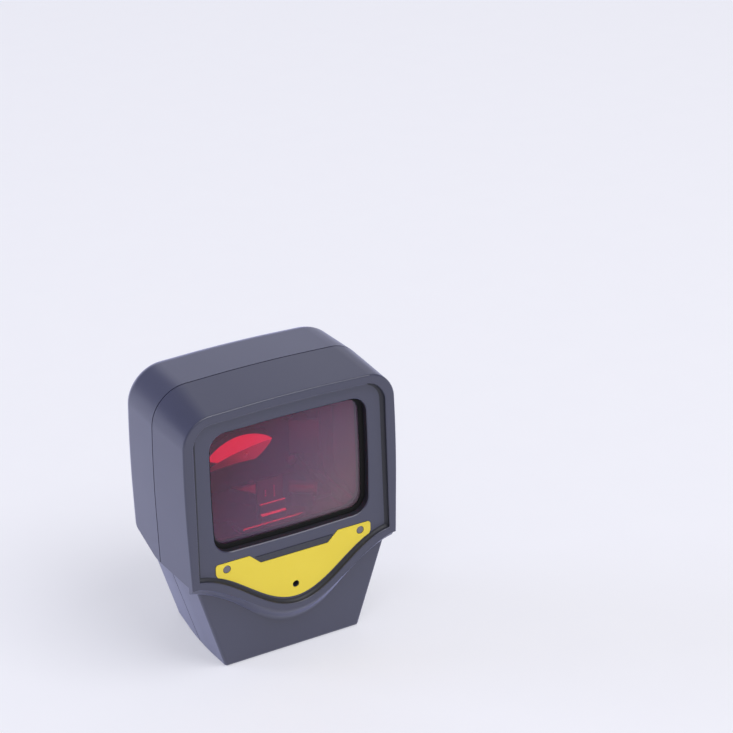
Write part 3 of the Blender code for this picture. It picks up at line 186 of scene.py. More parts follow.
def add_lamp(name, direction, width, level, colour="ffffff"):
    """Square softbox far away in a direction; level is how bright it makes a white card."""
    data = bpy.data.lights.new(name, "AREA")
    data.shape = "SQUARE"
    data.size = width
    data.energy = level * (pi * LAMP_DISTANCE) ** 2
    data.color = linear_rgb(colour)[:3]
    lamp = bpy.data.objects.new(name, data)
    lamp.location = MIDDLE + Vector(direction).normalized() * LAMP_DISTANCE
    lamp.rotation_euler = (MIDDLE - lamp.location).to_track_quat("-Z", "Y").to_euler()
    bpy.context.scene.collection.objects.link(lamp)
    return lamp


make_floor()
make_room()
add_lamp("front_top_softbox", (0.25, -0.45, 0.85), 2.6, 0.5)
add_lamp("left_softbox", (-0.8, 0.55, 0.12), 1.6, 0.7, "d8e0ff").visible_glossy = False
add_lamp("front_left_softbox", (-0.42, -0.41, 0.8), 0.9, 0.05)
add_lamp("rear_softbox", (0.42, 0.78, 0.50), 2.4, 0.06)

# %% [markdown]
# ## Charcoal ABS
# The housing is injection-moulded ABS from a finely spark-eroded mould. That leaves a satin surface:
# dark, a little blue, with a soft broad highlight. The real grain is about 0.1 mm, too fine to show
# here, so it is drawn at 0.5 mm and kept very shallow. Fine grain also scatters light at grazing
# angles and makes the curved edges paler, which a sheen on the shader does. The parts inside are
# matt black polycarbonate, which swallows light, so that only their edges show.

# %% Materials of the housing
def moulded_plastic(name, colour, lighter, roughness, grain=0.5 * MM, depth=0.012 * MM, ior=1.53):
    """Moulded plastic: a faint cloud of tone, a fine shallow grain and uneven gloss."""
    made, tree, shader = start_material(name, (("IOR", ior),))
    place = add_node(tree, "ShaderNodeTexCoord").outputs["Object"]
    cloud = add_node(tree, "ShaderNodeTexNoise", (
        ("Vector", place), ("Scale", 1 / (30 * MM)), ("Detail", 2.0)))
    tone = add_node(tree, "ShaderNodeMix", (
        ("Factor", cloud.outputs["Fac"]), ("A", linear_rgb(colour)), ("B", linear_rgb(lighter))),
        data_type="RGBA")
    gloss = add_node(tree, "ShaderNodeMapRange", (
        ("Value", cloud.outputs["Fac"]), ("To Min", roughness - 0.03), ("To Max", roughness + 0.03)))
    fine = add_node(tree, "ShaderNodeTexNoise", (
        ("Vector", place), ("Scale", 1 / grain), ("Detail", 1.0)))
    bump = add_node(tree, "ShaderNodeBump", (
        ("Height", fine.outputs["Fac"]), ("Distance", depth), ("Strength", 1.0)))
    tree.links.new(tone.outputs["Result"], shader.inputs["Base Color"])
    tree.links.new(gloss.outputs["Result"], shader.inputs["Roughness"])
    tree.links.new(bump.outputs["Normal"], shader.inputs["Normal"])
    return made


charcoal_abs = moulded_plastic("spark_textured_charcoal_abs", "383a51", "3b3d55", 0.34, ior=1.7)
deck_black = moulded_plastic("matte_black_polycarbonate", "121214", "17171a", 0.6)
sheen = charcoal_abs.node_tree.nodes["Principled BSDF"].inputs
sheen["Sheen Weight"].default_value = 0.75
sheen["Sheen Roughness"].default_value = 0.35
sheen["Sheen Tint"].default_value = linear_rgb("ccd0ff")
print("housing materials", charcoal_abs.name, deck_black.name)

# %% [markdown]
# ## Rings and lofts
# The housing has no flat side: every section is an arch with bulged sides and a crowned top. Such a
# form is a loft through rings. A ring starts as a polygon of a few corners, and the bevel operator
# rounds each corner by its own radius. Rings are then joined in pairs by the bridge operator.

# %% Outlines and lofts
def offset(corners, inset):
    """Move the edges of a counterclockwise polygon of (x, y, radius, steps) inwards."""
    moved = []
    for i, (x, y, radius, steps) in enumerate(corners):
        before, here = Vector(corners[i - 1][:2]), Vector((x, y))
        after = Vector(corners[(i + 1) % len(corners)][:2])
        first, second = (here - before).normalized(), (after - here).normalized()
        n1, n2 = Vector((-first.y, first.x)), Vector((-second.y, second.x))
        here = here + inset * (n1 + n2) / (1 + n1.dot(n2))
        moved.append((here.x, here.y, max(radius - inset, 0.2 * MM) if radius else 0, steps))
    return moved


def outline(corners):
    """Ordered points of a polygon whose corners are rounded by the bevel operator."""
    bm = bmesh.new()
    verts = [bm.verts.new((x, y, 0)) for x, y, radius, steps in corners]
    bm.faces.new(verts)
    for i, (x, y, radius, steps) in enumerate(corners):
        if not radius:
            continue
        to_before = Vector(corners[i - 1][:2]) - Vector((x, y))
        to_after = Vector(corners[(i + 1) % len(corners)][:2]) - Vector((x, y))
        reach = radius / tan(to_before.angle(to_after) / 2)
        reach = min(reach, 0.49 * to_before.length, 0.49 * to_after.length)
        bmesh.ops.bevel(bm, geom=[verts[i]], offset=reach, segments=steps, profile=0.5,
                        affect="VERTICES", material=-1)
    bm.faces.ensure_lookup_table()
    points = [v.co.xy for v in bm.faces[0].verts]
    bm.free()
    start = min(range(len(points)), key=lambda k: (round(points[k].y, 6), -points[k].x))
    return points[start:] + points[:start]


def mirrored(right):
    """Close a right half, listed from bottom to top, with its mirror image."""
    return right + [(-x, y, radius, steps) for x, y, radius, steps in reversed(right) if x > 0]


def new_object(name, bm, finish=None):
    """Turn a bmesh into an object at the origin."""
    bmesh.ops.recalc_face_normals(bm, faces=bm.faces)
    mesh = bpy.data.meshes.new(name)
    bm.to_mesh(mesh)
    bm.free()
    made = bpy.data.objects.new(name, mesh)
    bpy.context.scene.collection.objects.link(made)
    if finish:
        mesh.materials.append(finish)
    return made


def loft(name, rings, finish=None):
    """Closed solid through rings with equal counts of points."""
    bm = bmesh.new()
    loops = []
    for ring in rings:
        verts = [bm.verts.new(point) for point in ring]
        loops.append([bm.edges.new((verts[i - 1], verts[i])) for i in range(len(verts))])
    for near, far in zip(loops, loops[1:]):
        bmesh.ops.bridge_loops(bm, edges=near + far)
    for loop in (loops[0], loops[-1]):
        bmesh.ops.contextual_create(bm, geom=loop)
    return new_object(name, bm, finish)


def carve(made, other, operation="DIFFERENCE"):
    """Combine a piece with another by an exact Boolean modifier."""
    modifier = made.modifiers.new(other.name, "BOOLEAN")
    modifier.operation = operation
    modifier.object = other
    return made


def settle(piece, cutters, angle=32):
    """Apply the Booleans, delete the cutters and shade the result by its edge angle."""
    bpy.context.view_layer.update()
    graph = bpy.context.evaluated_depsgraph_get()
    mesh = bpy.data.meshes.new_from_object(piece.evaluated_get(graph))
    piece.modifiers.clear()
    old, piece.data = piece.data, mesh
    bpy.data.meshes.remove(old)
    mesh.name = piece.name
    for cutter in cutters:
        bpy.data.objects.remove(cutter)
    shade(piece, angle)
    return piece


def shade(piece, angle=32):
    """Smooth faces, sharp edges above an angle, and normals weighted by face area."""
    piece.data.shade_smooth()
    piece.data.set_sharp_from_angle(angle=radians(angle))
    weighted = piece.modifiers.new("weighted_normals", "WEIGHTED_NORMAL")
    weighted.keep_sharp = True
    weighted.weight = 80
    return piece


# %% [markdown]
# ## The housing's form
# Seen from the front, the upper body is an arch that leans back a little. From the side it swells
# to the seam, then falls away over a shoulder to the back. The lower body tapers down to the base.
# These are the CAD model's sizes, drawn here with many more steps so that no facet shows.

# %% Sizes of the housing
LEAN = radians(1.83)
LEDGE_Z, FRONT_TOP_Z = 47.8 * MM, 129.2 * MM
HALF_WIDTH = 52.5 * MM
RIM_Y, SEAM_Y, SHOULDER_Y, BACK_Y = -40 * MM, -8.9 * MM, 18.5 * MM, 40.7 * MM
GAP, WALL, FAR = 0.3 * MM, 2.4 * MM, 90 * MM
RIM_EDGE_R = 0.9 * MM
SOFT_BEND_R = 600 * MM
UPPER_SKIRT = 4 * MM
EAR_TOP_Z = 108 * MM
LOWER_TOP_Z = 115 * MM
WINDOW_BOTTOM_Z, WINDOW_TOP_Z = 60.7 * MM, 118.6 * MM
PANEL_DEPTH, TUNNEL_DEPTH = 2.4 * MM, 5.9 * MM


def front_y(z, depth):
    """Y of a point at a depth behind the leaning rim plane."""
    return RIM_Y + (z - LEDGE_Z) * tan(LEAN) + depth


def on_front(points, depth):
    """Lay flat (x, z) points on a plane parallel to the rim."""
    return [Vector((p[0], front_y(p[1], depth), p[1])) for p in points]


def arch(flare, rise, radius, inset):
    """Outline of the upper body: bulged sides, round shoulders and a crowned top."""
    half, top = HALF_WIDTH + flare, FRONT_TOP_Z + rise
    right = [
        (half, LEDGE_Z - UPPER_SKIRT, 0, 1),
        (half + 1.4 * MM, 92 * MM, SOFT_BEND_R, 12),
        (half + 0.4 * MM, top, radius, 20),
        (0, top + 1.75 * MM, SOFT_BEND_R, 12),
    ]
    corners = offset(mirrored(right), inset)
    return outline([(x, max(z, LEDGE_Z - UPPER_SKIRT), r, n) for x, z, r, n in corners])


def upper_form(name, inset=0.0):
    """Upper body, from the rim's soft edge over the seam and shoulder to the back."""
    rings = []
    steps = 1 if inset else 8
    for k in range(steps):
        turn = k * pi / 2 / 7
        tuck = inset or RIM_EDGE_R * (1 - sin(turn))
        depth = PANEL_DEPTH + inset if inset else RIM_EDGE_R * (1 - cos(turn))
        rings.append(on_front(arch(0, 0, 14 * MM, tuck), depth))
    bend, back = SHOULDER_Y - inset * tan(pi / 8), BACK_Y - inset
    shrink = back - bend
    profile = [
        (SEAM_Y, 0, 0, 1),
        (SEAM_Y, -FAR, 0, 1),
        (back + FAR, -FAR, 0, 1),
        (back + FAR, shrink + 6 * MM, 0, 1),
        (back, shrink + 6 * MM, 0, 1),
        (back, shrink, 3 * MM, 6),
        (bend, 0, 7 * MM, 10),
    ]
    side = [p for p in outline(profile) if -0.1 * MM < p.y < shrink + 5 * MM and p.x < back + MM]
    for p in sorted(side, key=lambda p: (round(p.x, 6), p.y)):
        share = (p.x - SEAM_Y) / (SHOULDER_Y - SEAM_Y)
        flare = 0.7 * MM - 0.7 * MM * share - p.y
        rise = 3.5 * MM - 0.73 * p.y
        points = arch(flare, rise, 17.5 * MM - 0.2 * p.y, inset)
        rings.append([Vector((q.x, p.x, q.y)) for q in points])
    return loft(name, rings)


def plan(share, inset):
    """Plan of the lower body; share is 0 at the base and 1 at the ledge."""
    wide = 14.3 * MM * share
    right = [
        ((35.4 * MM) + wide, -34.3 * MM - 1.9 * MM * share, 1.8 * MM, 8),
        ((36.1 * MM) + wide, SEAM_Y, 150 * MM, 6),
        ((32.2 * MM) + wide, 20.4 * MM, 5 * MM, 8),
        (19.4 * MM + 10.6 * MM * share, 33 * MM + 4.2 * MM * share, 5 * MM, 8),
    ]
    return outline(offset(mirrored(right), inset))


def lower_form(name, inset=0.0):
    """Tapered lower body; above the ledge it carries on straight inside the upper body."""
    levels = [(inset, inset / LEDGE_Z, inset)]
    if not inset:
        edge = 1.5 * MM
        turns = [k * pi / 8 for k in range(5)]
        levels = [(edge * (1 - cos(t)), 0, edge * (1 - sin(t))) for t in turns]
    levels += [(LEDGE_Z, 1, inset), (LOWER_TOP_Z - inset, 1, inset)]
    rings = []
    for z, share, narrowing in levels:
        lean = max(0, z - LEDGE_Z) * tan(LEAN)
        rings.append([Vector((p.x, p.y + lean * (p.y < 0), z)) for p in plan(share, narrowing)])
    return loft(name, rings)


def under_form(name, inset=0.0):
    """What is missing below the ledge and in the two hollows beside the spine."""
    side = [
        (-FAR, LEDGE_Z, 0, 1), (-FAR, -FAR, 0, 1), (FAR, -FAR, 0, 1), (FAR, EAR_TOP_Z, 0, 1),
        (20.5 * MM, EAR_TOP_Z, 6 * MM, 8),
        (17 * MM, 55 * MM, 3.5 * MM, 6),
        (-3.7 * MM, LEDGE_Z, 12 * MM, 6),
    ]
    points = outline(offset(side, -inset))
    cutter = loft(name, [[Vector((x, p.x, p.y)) for p in points] for x in (-FAR, FAR)])
    half = 17 * MM - inset
    low = EAR_TOP_Z - 31 * MM + inset
    spine = [
        (-half, low, 5 * MM, 8), (half, low, 5 * MM, 8),
        (half, EAR_TOP_Z + FAR, 0, 1), (-half, EAR_TOP_Z + FAR, 0, 1),
    ]
    points = outline(spine)
    keep = loft(f"{name}_spine", [[Vector((p.x, y, p.y)) for p in points] for y in (0, 2 * FAR)])
    return carve(cutter, keep), keep


def housing_form(name, inset=0.0):
    """Whole outer form, or the same form inset by a distance, with the objects it is made of."""
    form, lower = upper_form(name, inset), lower_form(f"{name}_lower", inset)
    under, keep = under_form(f"{name}_under", inset)
    carve(form, under)
    carve(form, lower, "UNION")
    return form, [form, lower, under, keep]


# %% [markdown]
# ## Lip, recess and window opening
# Below the window the rim dips in an S on each side and meets a bell-shaped lip, which slopes back
# to the lower body. The recess inside the rim has a small cove at its foot. All three edges follow
# the same bell curve, a cosine, so they stay parallel.

# %% Lip, recess and window cutters
def bell(x, edge_z, drop, span):
    """Height of a bell curve that hangs below edge_z at the middle."""
    return edge_z - drop * (1 + cos(pi * min(abs(x) / span, 1))) / 2


def smooth(value, low, high):
    """Soft step from 0 at low to 1 at high."""
    share = min(max((value - low) / (high - low), 0), 1)
    return share * share * (3 - 2 * share)


def lip_form():
    """Apron below the bell-shaped edge: stepped at the sides, a soft S in the middle."""
    half, span = HALF_WIDTH - 0.5 * MM, HALF_WIDTH + 4.5 * MM
    edge_z, dip, reach, skin = 48.7 * MM, 24.4 * MM, 4.6 * MM, 0.02 * MM
    side_drop, middle_drop = 4.2, 8
    rings = []
    for k in range(25):
        share = k / 20
        top_y = front_y(WINDOW_BOTTOM_Z, skin + reach * share)
        points = [Vector((x, top_y, WINDOW_BOTTOM_Z)) for x in (half, -half)]
        for i in range(97):
            x = half * (i / 48 - 1)
            side = smooth(abs(x), 8 * MM, 34 * MM)
            soft = smooth(share, 0, 1) if share < 1 else share
            depth = reach * (side * share + (1 - side) * soft)
            drop = side * side_drop * MM * smooth(share, 0, 1)
            drop += (1 - side) * middle_drop * MM * min(share, 1)
            z = bell(x, edge_z, dip, span) - drop
            points.append(Vector((x, front_y(z, skin + depth), z)))
        rings.append(points)
    return loft("lip_form", rings)


def panel_outline(inset, widening=0.0):
    """Outline of the recessed panel, with the bell curve as its lower edge."""
    half, edge_z, top = 49 * MM, 50.9 * MM, 125.2 * MM
    right = [
        (half, edge_z, 0, 1),
        (half - 1.4 * MM, top, 9.5 * MM, 16),
        (0, top + 1.4 * MM, SOFT_BEND_R, 12),
    ]
    steps = 96
    lower = []
    for k in range(1, steps):
        x = half * (2 * k / steps - 1)
        lower.append((x, bell(x, edge_z, 24.2 * MM, half + 2 * MM), 0, 1))
    points = []
    for p in outline(offset(mirrored(right) + lower, inset)):
        side = smooth(p.y, 50 * MM, 60 * MM) * smooth(abs(p.x), 40 * MM, 47 * MM)
        side *= 1 - smooth(p.y, 112 * MM, 122 * MM)
        points.append((p.x + widening * side * (1 if p.x > 0 else -1), p.y))
    return points


def panel_form():
    """Recess of the panel: a cove below and on top, a rounded slope at the sides."""
    edge, widening = 0.45 * MM, 1.2 * MM
    rows = [(-edge, -MM, widening), (-edge, 0, widening)]
    for k in range(1, 5):
        turn = k * pi / 8
        rows.append((-edge * (1 - sin(turn)), edge * (1 - cos(turn)), widening - 0.1 * MM * k))
    for k in range(1, 9):
        turn = k * pi / 16
        depth = edge + (PANEL_DEPTH - edge) * sin(turn)
        rows.append((1.9 * MM * (1 - cos(turn)), depth, 0.8 * MM - 0.05 * MM * k))
    rings = [on_front(panel_outline(inset, wider), depth) for inset, depth, wider in rows]
    return loft("panel_form", rings)


def window_outline(inset=0.0):
    """Window outline: slightly bowed sides and round corners."""
    half, bow = 39.5 * MM, 0.7 * MM
    right = [
        (0, WINDOW_BOTTOM_Z - bow, SOFT_BEND_R, 8),
        (half, WINDOW_BOTTOM_Z, 8.5 * MM, 16),
        (half + bow, (WINDOW_BOTTOM_Z + WINDOW_TOP_Z) / 2, SOFT_BEND_R, 8),
        (half, WINDOW_TOP_Z, 8 * MM, 16),
        (0, WINDOW_TOP_Z + bow, SOFT_BEND_R, 8),
    ]
    return outline(offset(mirrored(right), inset))


def window_slab(name, rows, finish=None):
    """Loft with the window's outline through (inset, depth) rows."""
    return loft(name, [on_front(window_outline(inset), depth) for inset, depth in rows], finish)


def rod(name, start, direction, radius, length, sides=32):
    """Cylinder from a point along a direction, placed in its mesh."""
    bm = bmesh.new()
    turn = Vector((0, 0, 1)).rotation_difference(Vector(direction)).to_matrix().to_4x4()
    middle = Vector(start) + Vector(direction).normalized() * length / 2
    bmesh.ops.create_cone(bm, cap_ends=True, segments=sides, radius1=radius, radius2=radius,
                          depth=length, matrix=Matrix.Translation(middle) @ turn)
    return new_object(name, bm)


def block(name, low, high):
    """Box between two corners, placed in its mesh."""
    low, high = Vector(low), Vector(high)
    place = Matrix.Translation((low + high) / 2) @ Matrix.Diagonal((*(high - low), 1))
    bm = bmesh.new()
    bmesh.ops.create_cube(bm, size=1, matrix=place)
    return new_object(name, bm)


# %% [markdown]
# ## Two shells
# The real housing is two mouldings that lap at the seam, and four screws from the back pull them
# together. Each shell is the outer form cut at the seam, hollowed by the same form 2.4 mm smaller,
# with the screw bosses left standing. The seam is a groove 0.6 mm wide, so that it still shows as a
# thin dark line. The faces of the coves and the window tunnel get a darker, matt charcoal: painted
# shade for the shade that falls in these deep pockets. Their faces are found by where they lie.

# %% Front and rear shells
BOSSES = [(side * x * MM, z * MM) for x, z in ((44.6, 121.0), (43.2, 52.6)) for side in (1, -1)]
SCREW_HEAD_Y = 0.5 * MM
SEAM_GROOVE = 0.6 * MM
LENS_X, LENS_Z, SOUND_HOLE_Z, SOUND_HOLE_R = 34.4, 52.6, 35.1, 1.7


def label_outline(inset=0.0):
    """Bell-shaped label with two ears and a notch in its upper edge."""
    half, top, end_z = 39.9 * MM, 55.8 * MM, 51.2 * MM
    right = [
        (half, end_z, 0, 1),
        (half, top, 1.4 * MM, 8),
        (22.7 * MM, top, 0.8 * MM, 4),
        (17.3 * MM, 51 * MM, 0.8 * MM, 4),
    ]
    steps = 96
    lower = []
    for k in range(1, steps):
        x = half * (2 * k / steps - 1)
        lower.append((x, min(bell(x, 51.5 * MM, 22.3 * MM, 48 * MM), end_z - GAP), 0, 1))
    return outline(offset(mirrored(right) + lower, inset))


def make_shells():
    """Fine front and rear shells from the shared outer form."""
    outer, spare = housing_form("outer_form")
    lap_outer, more = housing_form("lap_outer_form", WALL / 2 - GAP / 2)
    spare += more
    lap_inner, more = housing_form("lap_inner_form", WALL / 2 + GAP / 2)
    spare += more
    front_cavity, more = housing_form("front_cavity", WALL)
    spare += more
    rear_cavity, more = housing_form("rear_cavity", WALL)
    spare += more

    front = block("moulded_front_shell", (-FAR, -FAR, -FAR),
                  (FAR, SEAM_Y - SEAM_GROOVE / 2, 2 * FAR))
    lip = lip_form()
    rebate = block("rebate", (-FAR, SEAM_Y - 2.9 * MM, -FAR), (FAR, SEAM_Y + MM, 2 * FAR))
    carve(rebate, lap_outer, "INTERSECT")
    tunnel = window_slab("tunnel_form", ((-1.8 * MM, PANEL_DEPTH), (-1.8 * MM, TUNNEL_DEPTH)))
    carve(front_cavity, tunnel)
    rear = block("moulded_rear_shell", (-FAR, SEAM_Y + SEAM_GROOVE / 2, -FAR), (FAR, FAR, 2 * FAR))
    tongue = block("tongue", (-FAR, SEAM_Y - 2.6 * MM, -FAR), (FAR, SEAM_Y + WALL, 2 * FAR))
    carve(tongue, lap_inner, "INTERSECT")
    spare += [lip, rebate, tunnel, tongue]

    cuts = {front: [], rear: []}
    for n, (x, z) in enumerate(BOSSES):
        start = front_y(z, PANEL_DEPTH)
        near = rod(f"front_boss_{n}", (x, start, z), (0, 1, 0), 3.3 * MM, SEAM_Y + MM - start)
        far = rod(f"rear_boss_{n}", (x, SEAM_Y + GAP / 2, z), (0, 1, 0), 3.3 * MM, 2 * BACK_Y)
        carve(front_cavity, near)
        carve(rebate, near)
        carve(rear_cavity, far)
        pilot = rod(f"pilot_{n}", (x, start + 2 * WALL, z), (0, 1, 0), 1.55 * MM, BACK_Y)
        bore = rod(f"bore_{n}", (x, SCREW_HEAD_Y - GAP, z), (0, 1, 0), 2.7 * MM, 2 * BACK_Y)
        cuts[front].append(pilot)
        cuts[rear] += [pilot, bore]
        spare += [near, far, pilot, bore]
    panel = panel_form()
    window = window_slab("window_form", (
        (-0.4 * MM, PANEL_DEPTH - MM), (-0.4 * MM, PANEL_DEPTH - 0.1 * MM),
        (-0.35 * MM, PANEL_DEPTH + 0.03 * MM), (-0.03 * MM, PANEL_DEPTH + 0.35 * MM),
        (0, PANEL_DEPTH + 0.5 * MM), (0, TUNNEL_DEPTH + MM)))
    pocket = loft("label_pocket", [
        on_front(label_outline(-0.15 * MM), PANEL_DEPTH + d) for d in (-MM, 0.35 * MM)])
    cuts[front] += [panel, window, pocket]
    spare += [panel, window, pocket]
    for name, x, z, radius in (("right_hole", LENS_X, LENS_Z, 2.2),
                               ("left_hole", -LENS_X, LENS_Z, 2.2),
                               ("sound_hole", 0, SOUND_HOLE_Z, SOUND_HOLE_R)):
        hole = rod(name, (x * MM, RIM_Y - MM, z * MM), (0, 1, 0), radius * MM, 9 * MM)
        cuts[front].append(hole)
        spare.append(hole)

    carve(front, outer, "INTERSECT")
    carve(front, lip, "UNION")
    carve(front, rebate)
    carve(rear, outer, "INTERSECT")
    carve(rear, tongue, "UNION")
    carve(front, front_cavity)
    carve(rear, rear_cavity)
    for shell, cutters in cuts.items():
        for cutter in cutters:
            carve(shell, cutter)
        shell.data.materials.append(charcoal_abs)
    settle(front, [])
    # Painted shade: the cove and tunnel faces get a darker, matt charcoal for the shade in these
    # pockets.
    front.data.materials.append(moulded_plastic("painted_shade_charcoal_abs", "24252f", "282933", 0.5))
    for face in front.data.polygons:
        x, y, z = face.center
        within = abs(x) < 40.5 * MM and 60 * MM < z < 122 * MM
        tunnel_wall = front_y(z, PANEL_DEPTH + 0.45 * MM) < y < front_y(z, TUNNEL_DEPTH + MM)
        inward = face.normal.x * x < -0.1 * abs(x) or z < 60 * MM and face.normal.z > 0.1
        cove = front_y(z, 0.45 * MM) < y < front_y(z, PANEL_DEPTH - 0.03 * MM) and inward
        if within and tunnel_wall or cove:
            face.material_index = 1
    settle(rear, spare)
    for shell, node in ((front, "front_shell"), (rear, "rear_shell")):
        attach(shell, "housing")
        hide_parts(node)
        print(shell.name, len(shell.data.polygons), "faces")


make_shells()

# %% [markdown]
# ## Window
# The pane is dark red acrylic: it lets the laser's red through and hides the works from other
# colours. Cast acrylic is glossy and clear, so it mirrors the pale room faintly. A pale diffuse haze
# on its outer face is graded stronger towards one side, so the pane is paler there. The works show
# behind it as deep red shapes, because lamps shine in through the pane and tint on the way. It sits
# behind a short tunnel in a black silicone gasket, whose soft lip covers the pane's edge.

# %% Pane and gasket
def red_acrylic():
    """Clear red acrylic with a trace of haze on its outer face; lamps shine through it."""
    made, tree, shader = start_material("hard_coated_red_acrylic", (
        ("Base Color", linear_rgb("ff1478")), ("IOR", 1.49), ("Transmission Weight", 1.0)))
    place = add_node(tree, "ShaderNodeTexCoord").outputs["Object"]
    cloud = add_node(tree, "ShaderNodeTexNoise", (("Vector", place), ("Scale", 1 / (25 * MM))))
    film = add_node(tree, "ShaderNodeMapRange", (
        ("Value", cloud.outputs["Fac"]), ("To Min", 0.0), ("To Max", 0.015)))
    tree.links.new(film.outputs["Result"], shader.inputs["Roughness"])
    spot = add_node(tree, "ShaderNodeSeparateXYZ", (("Vector", place),))
    fall = add_node(tree, "ShaderNodeMath", (
        (0, spot.outputs["Z"]), (1, -0.8), (2, spot.outputs["X"])), operation="MULTIPLY_ADD")
    across = add_node(tree, "ShaderNodeMapRange", (
        ("Value", fall.outputs[0]), ("From Min", -110 * MM), ("From Max", -30 * MM)))
    amount = add_node(tree, "ShaderNodeMapRange", (
        ("Value", across.outputs["Result"]), ("To Min", 0.03), ("To Max", 0.2)))
    tint = add_node(tree, "ShaderNodeMix", (
        ("Factor", across.outputs["Result"]), ("A", linear_rgb("b49cf0")),
        ("B", linear_rgb("dcc0d6"))), data_type="RGBA")
    haze = add_node(tree, "ShaderNodeBsdfDiffuse", (("Color", tint.outputs["Result"]),))
    outer = add_node(tree, "ShaderNodeMath", (
        (0, 1.0), (1, add_node(tree, "ShaderNodeNewGeometry").outputs["Backfacing"])),
        operation="SUBTRACT")
    share = add_node(tree, "ShaderNodeMath", (
        (0, amount.outputs["Result"]), (1, outer.outputs[0])), operation="MULTIPLY")
    mixed = add_node(tree, "ShaderNodeMixShader", (
        (0, share.outputs[0]), (1, shader.outputs[0]), (2, haze.outputs[0])))
    clear = add_node(tree, "ShaderNodeBsdfTransparent", (("Color", linear_rgb("e02030")),))
    path = add_node(tree, "ShaderNodeLightPath")
    passed = add_node(tree, "ShaderNodeMixShader", (
        (0, path.outputs["Is Shadow Ray"]), (1, mixed.outputs[0]), (2, clear.outputs[0])))
    tree.links.new(passed.outputs[0], tree.nodes["Material Output"].inputs["Surface"])
    return made


def make_window():
    """Red pane with softened edges, and the gasket in front of it."""
    near = TUNNEL_DEPTH + GAP
    # Pressed silicone is matt and nearly black, so the pane has a dark frame with no glint.
    rubber = moulded_plastic("pressed_black_silicone", "050506", "070708", 0.8)
    gasket = window_slab("silicone_gasket", (
        (-1.5 * MM, near), (-1.5 * MM, near + 0.8 * MM)), rubber)
    lip = 2.0 * MM
    inside = window_slab("gasket_hole", ((lip, near - MM), (lip, near + 3 * MM)))
    carve(gasket, inside)
    settle(gasket, [inside])
    near += 0.8 * MM + GAP
    acrylic = red_acrylic()
    edge, thickness = 0.2 * MM, 2 * MM
    pane = window_slab("acrylic_pane", (
        (-1.5 * MM + edge, near), (-1.5 * MM, near + edge),
        (-1.5 * MM, near + thickness - edge), (-1.5 * MM + edge, near + thickness)), acrylic)
    shade(pane)
    for piece, node in ((gasket, "window_gasket"), (pane, "window_pane")):
        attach(piece, "housing")
        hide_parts(node)
        print(piece.name, len(piece.data.polygons), "faces")


make_window()

# %% [markdown]
# ## Label
# A thin polycarbonate skin, printed yellow on the back, fills a bell-shaped pocket below the window,
# and a darker strip fills the notch in its upper edge. Its face is smooth, so it shines a little
# more than the housing. The label stays plain: fields of colour, with no words or signs.

# %% Label, band and indicator lenses
def make_label():
    """Yellow label, dark band and the two indicator lenses."""
    # The print lies under a clear skin, so its colour is even and its shine soft.
    yellow = moulded_plastic("printed_yellow_polycarbonate", "f6dc3a", "fae245", 0.35,
                             grain=1.2 * MM, depth=0.004 * MM)
    grey = moulded_plastic("printed_dark_polycarbonate", "34353f", "383944", 0.35)
    back = PANEL_DEPTH + 0.05 * MM
    label = loft("printed_label", [on_front(label_outline(inset), depth) for inset, depth in (
        (0, back), (0, back - 0.35 * MM), (0.08 * MM, back - 0.4 * MM))], yellow)
    holes = [rod(f"label_hole_{x}", (x * MM, RIM_Y - MM, z * MM), (0, 1, 0), r * MM, 9 * MM)
             for x, z, r in ((LENS_X, LENS_Z, 1.97), (-LENS_X, LENS_Z, 1.97),
                             (0, SOUND_HOLE_Z, SOUND_HOLE_R))]
    for hole in holes:
        carve(label, hole)
    settle(label, holes)
    right = [(17.3 * MM, 51 * MM, 0, 1), (20.7 * MM, 54.7 * MM, 0, 1)]
    corners = outline(offset(mirrored(right), GAP))
    band = loft("printed_band", [on_front(corners, back - d) for d in (0, 0.4 * MM)], grey)
    shade(band)
    # Smoked acrylic is smooth and grey, so each lens shows one small bright spot.
    smoked = moulded_plastic("smoked_acrylic_lens", "6f6c74", "7a777f", 0.2)
    pieces = [(label, "label_panel"), (band, "label_band")]
    for side, word in ((1, "right"), (-1, "left")):
        low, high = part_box(f"indicator_lens_{word}")
        radius, length = (high.x - low.x) / 2, high.y - low.y
        middle = (low + high) / 2
        bm = bmesh.new()
        rim = 0.3 * MM
        profile = [(0, 0), (radius * 0.5, 0.03 * MM), (radius - rim, 0.1 * MM),
                   (radius, 0.1 * MM + rim), (radius, length), (0, length)]
        verts = [bm.verts.new((r, depth, 0)) for r, depth in profile]
        edges = [bm.edges.new(pair) for pair in zip(verts, verts[1:])]
        bmesh.ops.spin(bm, geom=verts + edges, axis=(0, 1, 0), cent=(0, 0, 0), steps=40,
                       angle=2 * pi, use_merge=True)
        bmesh.ops.remove_doubles(bm, verts=bm.verts, dist=0.001 * MM)
        bmesh.ops.translate(bm, verts=bm.verts, vec=(middle.x, low.y, middle.z))
        lens = new_object(f"smoked_lens_{word}", bm, smoked)
        shade(lens)
        pieces.append((lens, f"indicator_lens_{word}"))
    for piece, node in pieces:
        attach(piece, "housing")
        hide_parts(node)
        print(piece.name, len(piece.data.polygons), "faces")


make_label()

# %% [markdown]
# ## Collecting mirror
# This mirror gathers the light that comes back from a code. Its outline is a pointed lens and its
# face is hollow from side to side, like a shaving mirror cut to a strip. It could be turned from a
# disc, but a loft from tip to tip follows the outline and the hollow at the same time. Silvered
# glass mirrors the room sharply above the line between the tips, and etched aluminium film, which
# only glows, lies below it.

# %% Collecting mirror
def chord_z(x):
    """Height of the line between the mirror's tips."""
    return 81.7 * MM + 0.19 * x


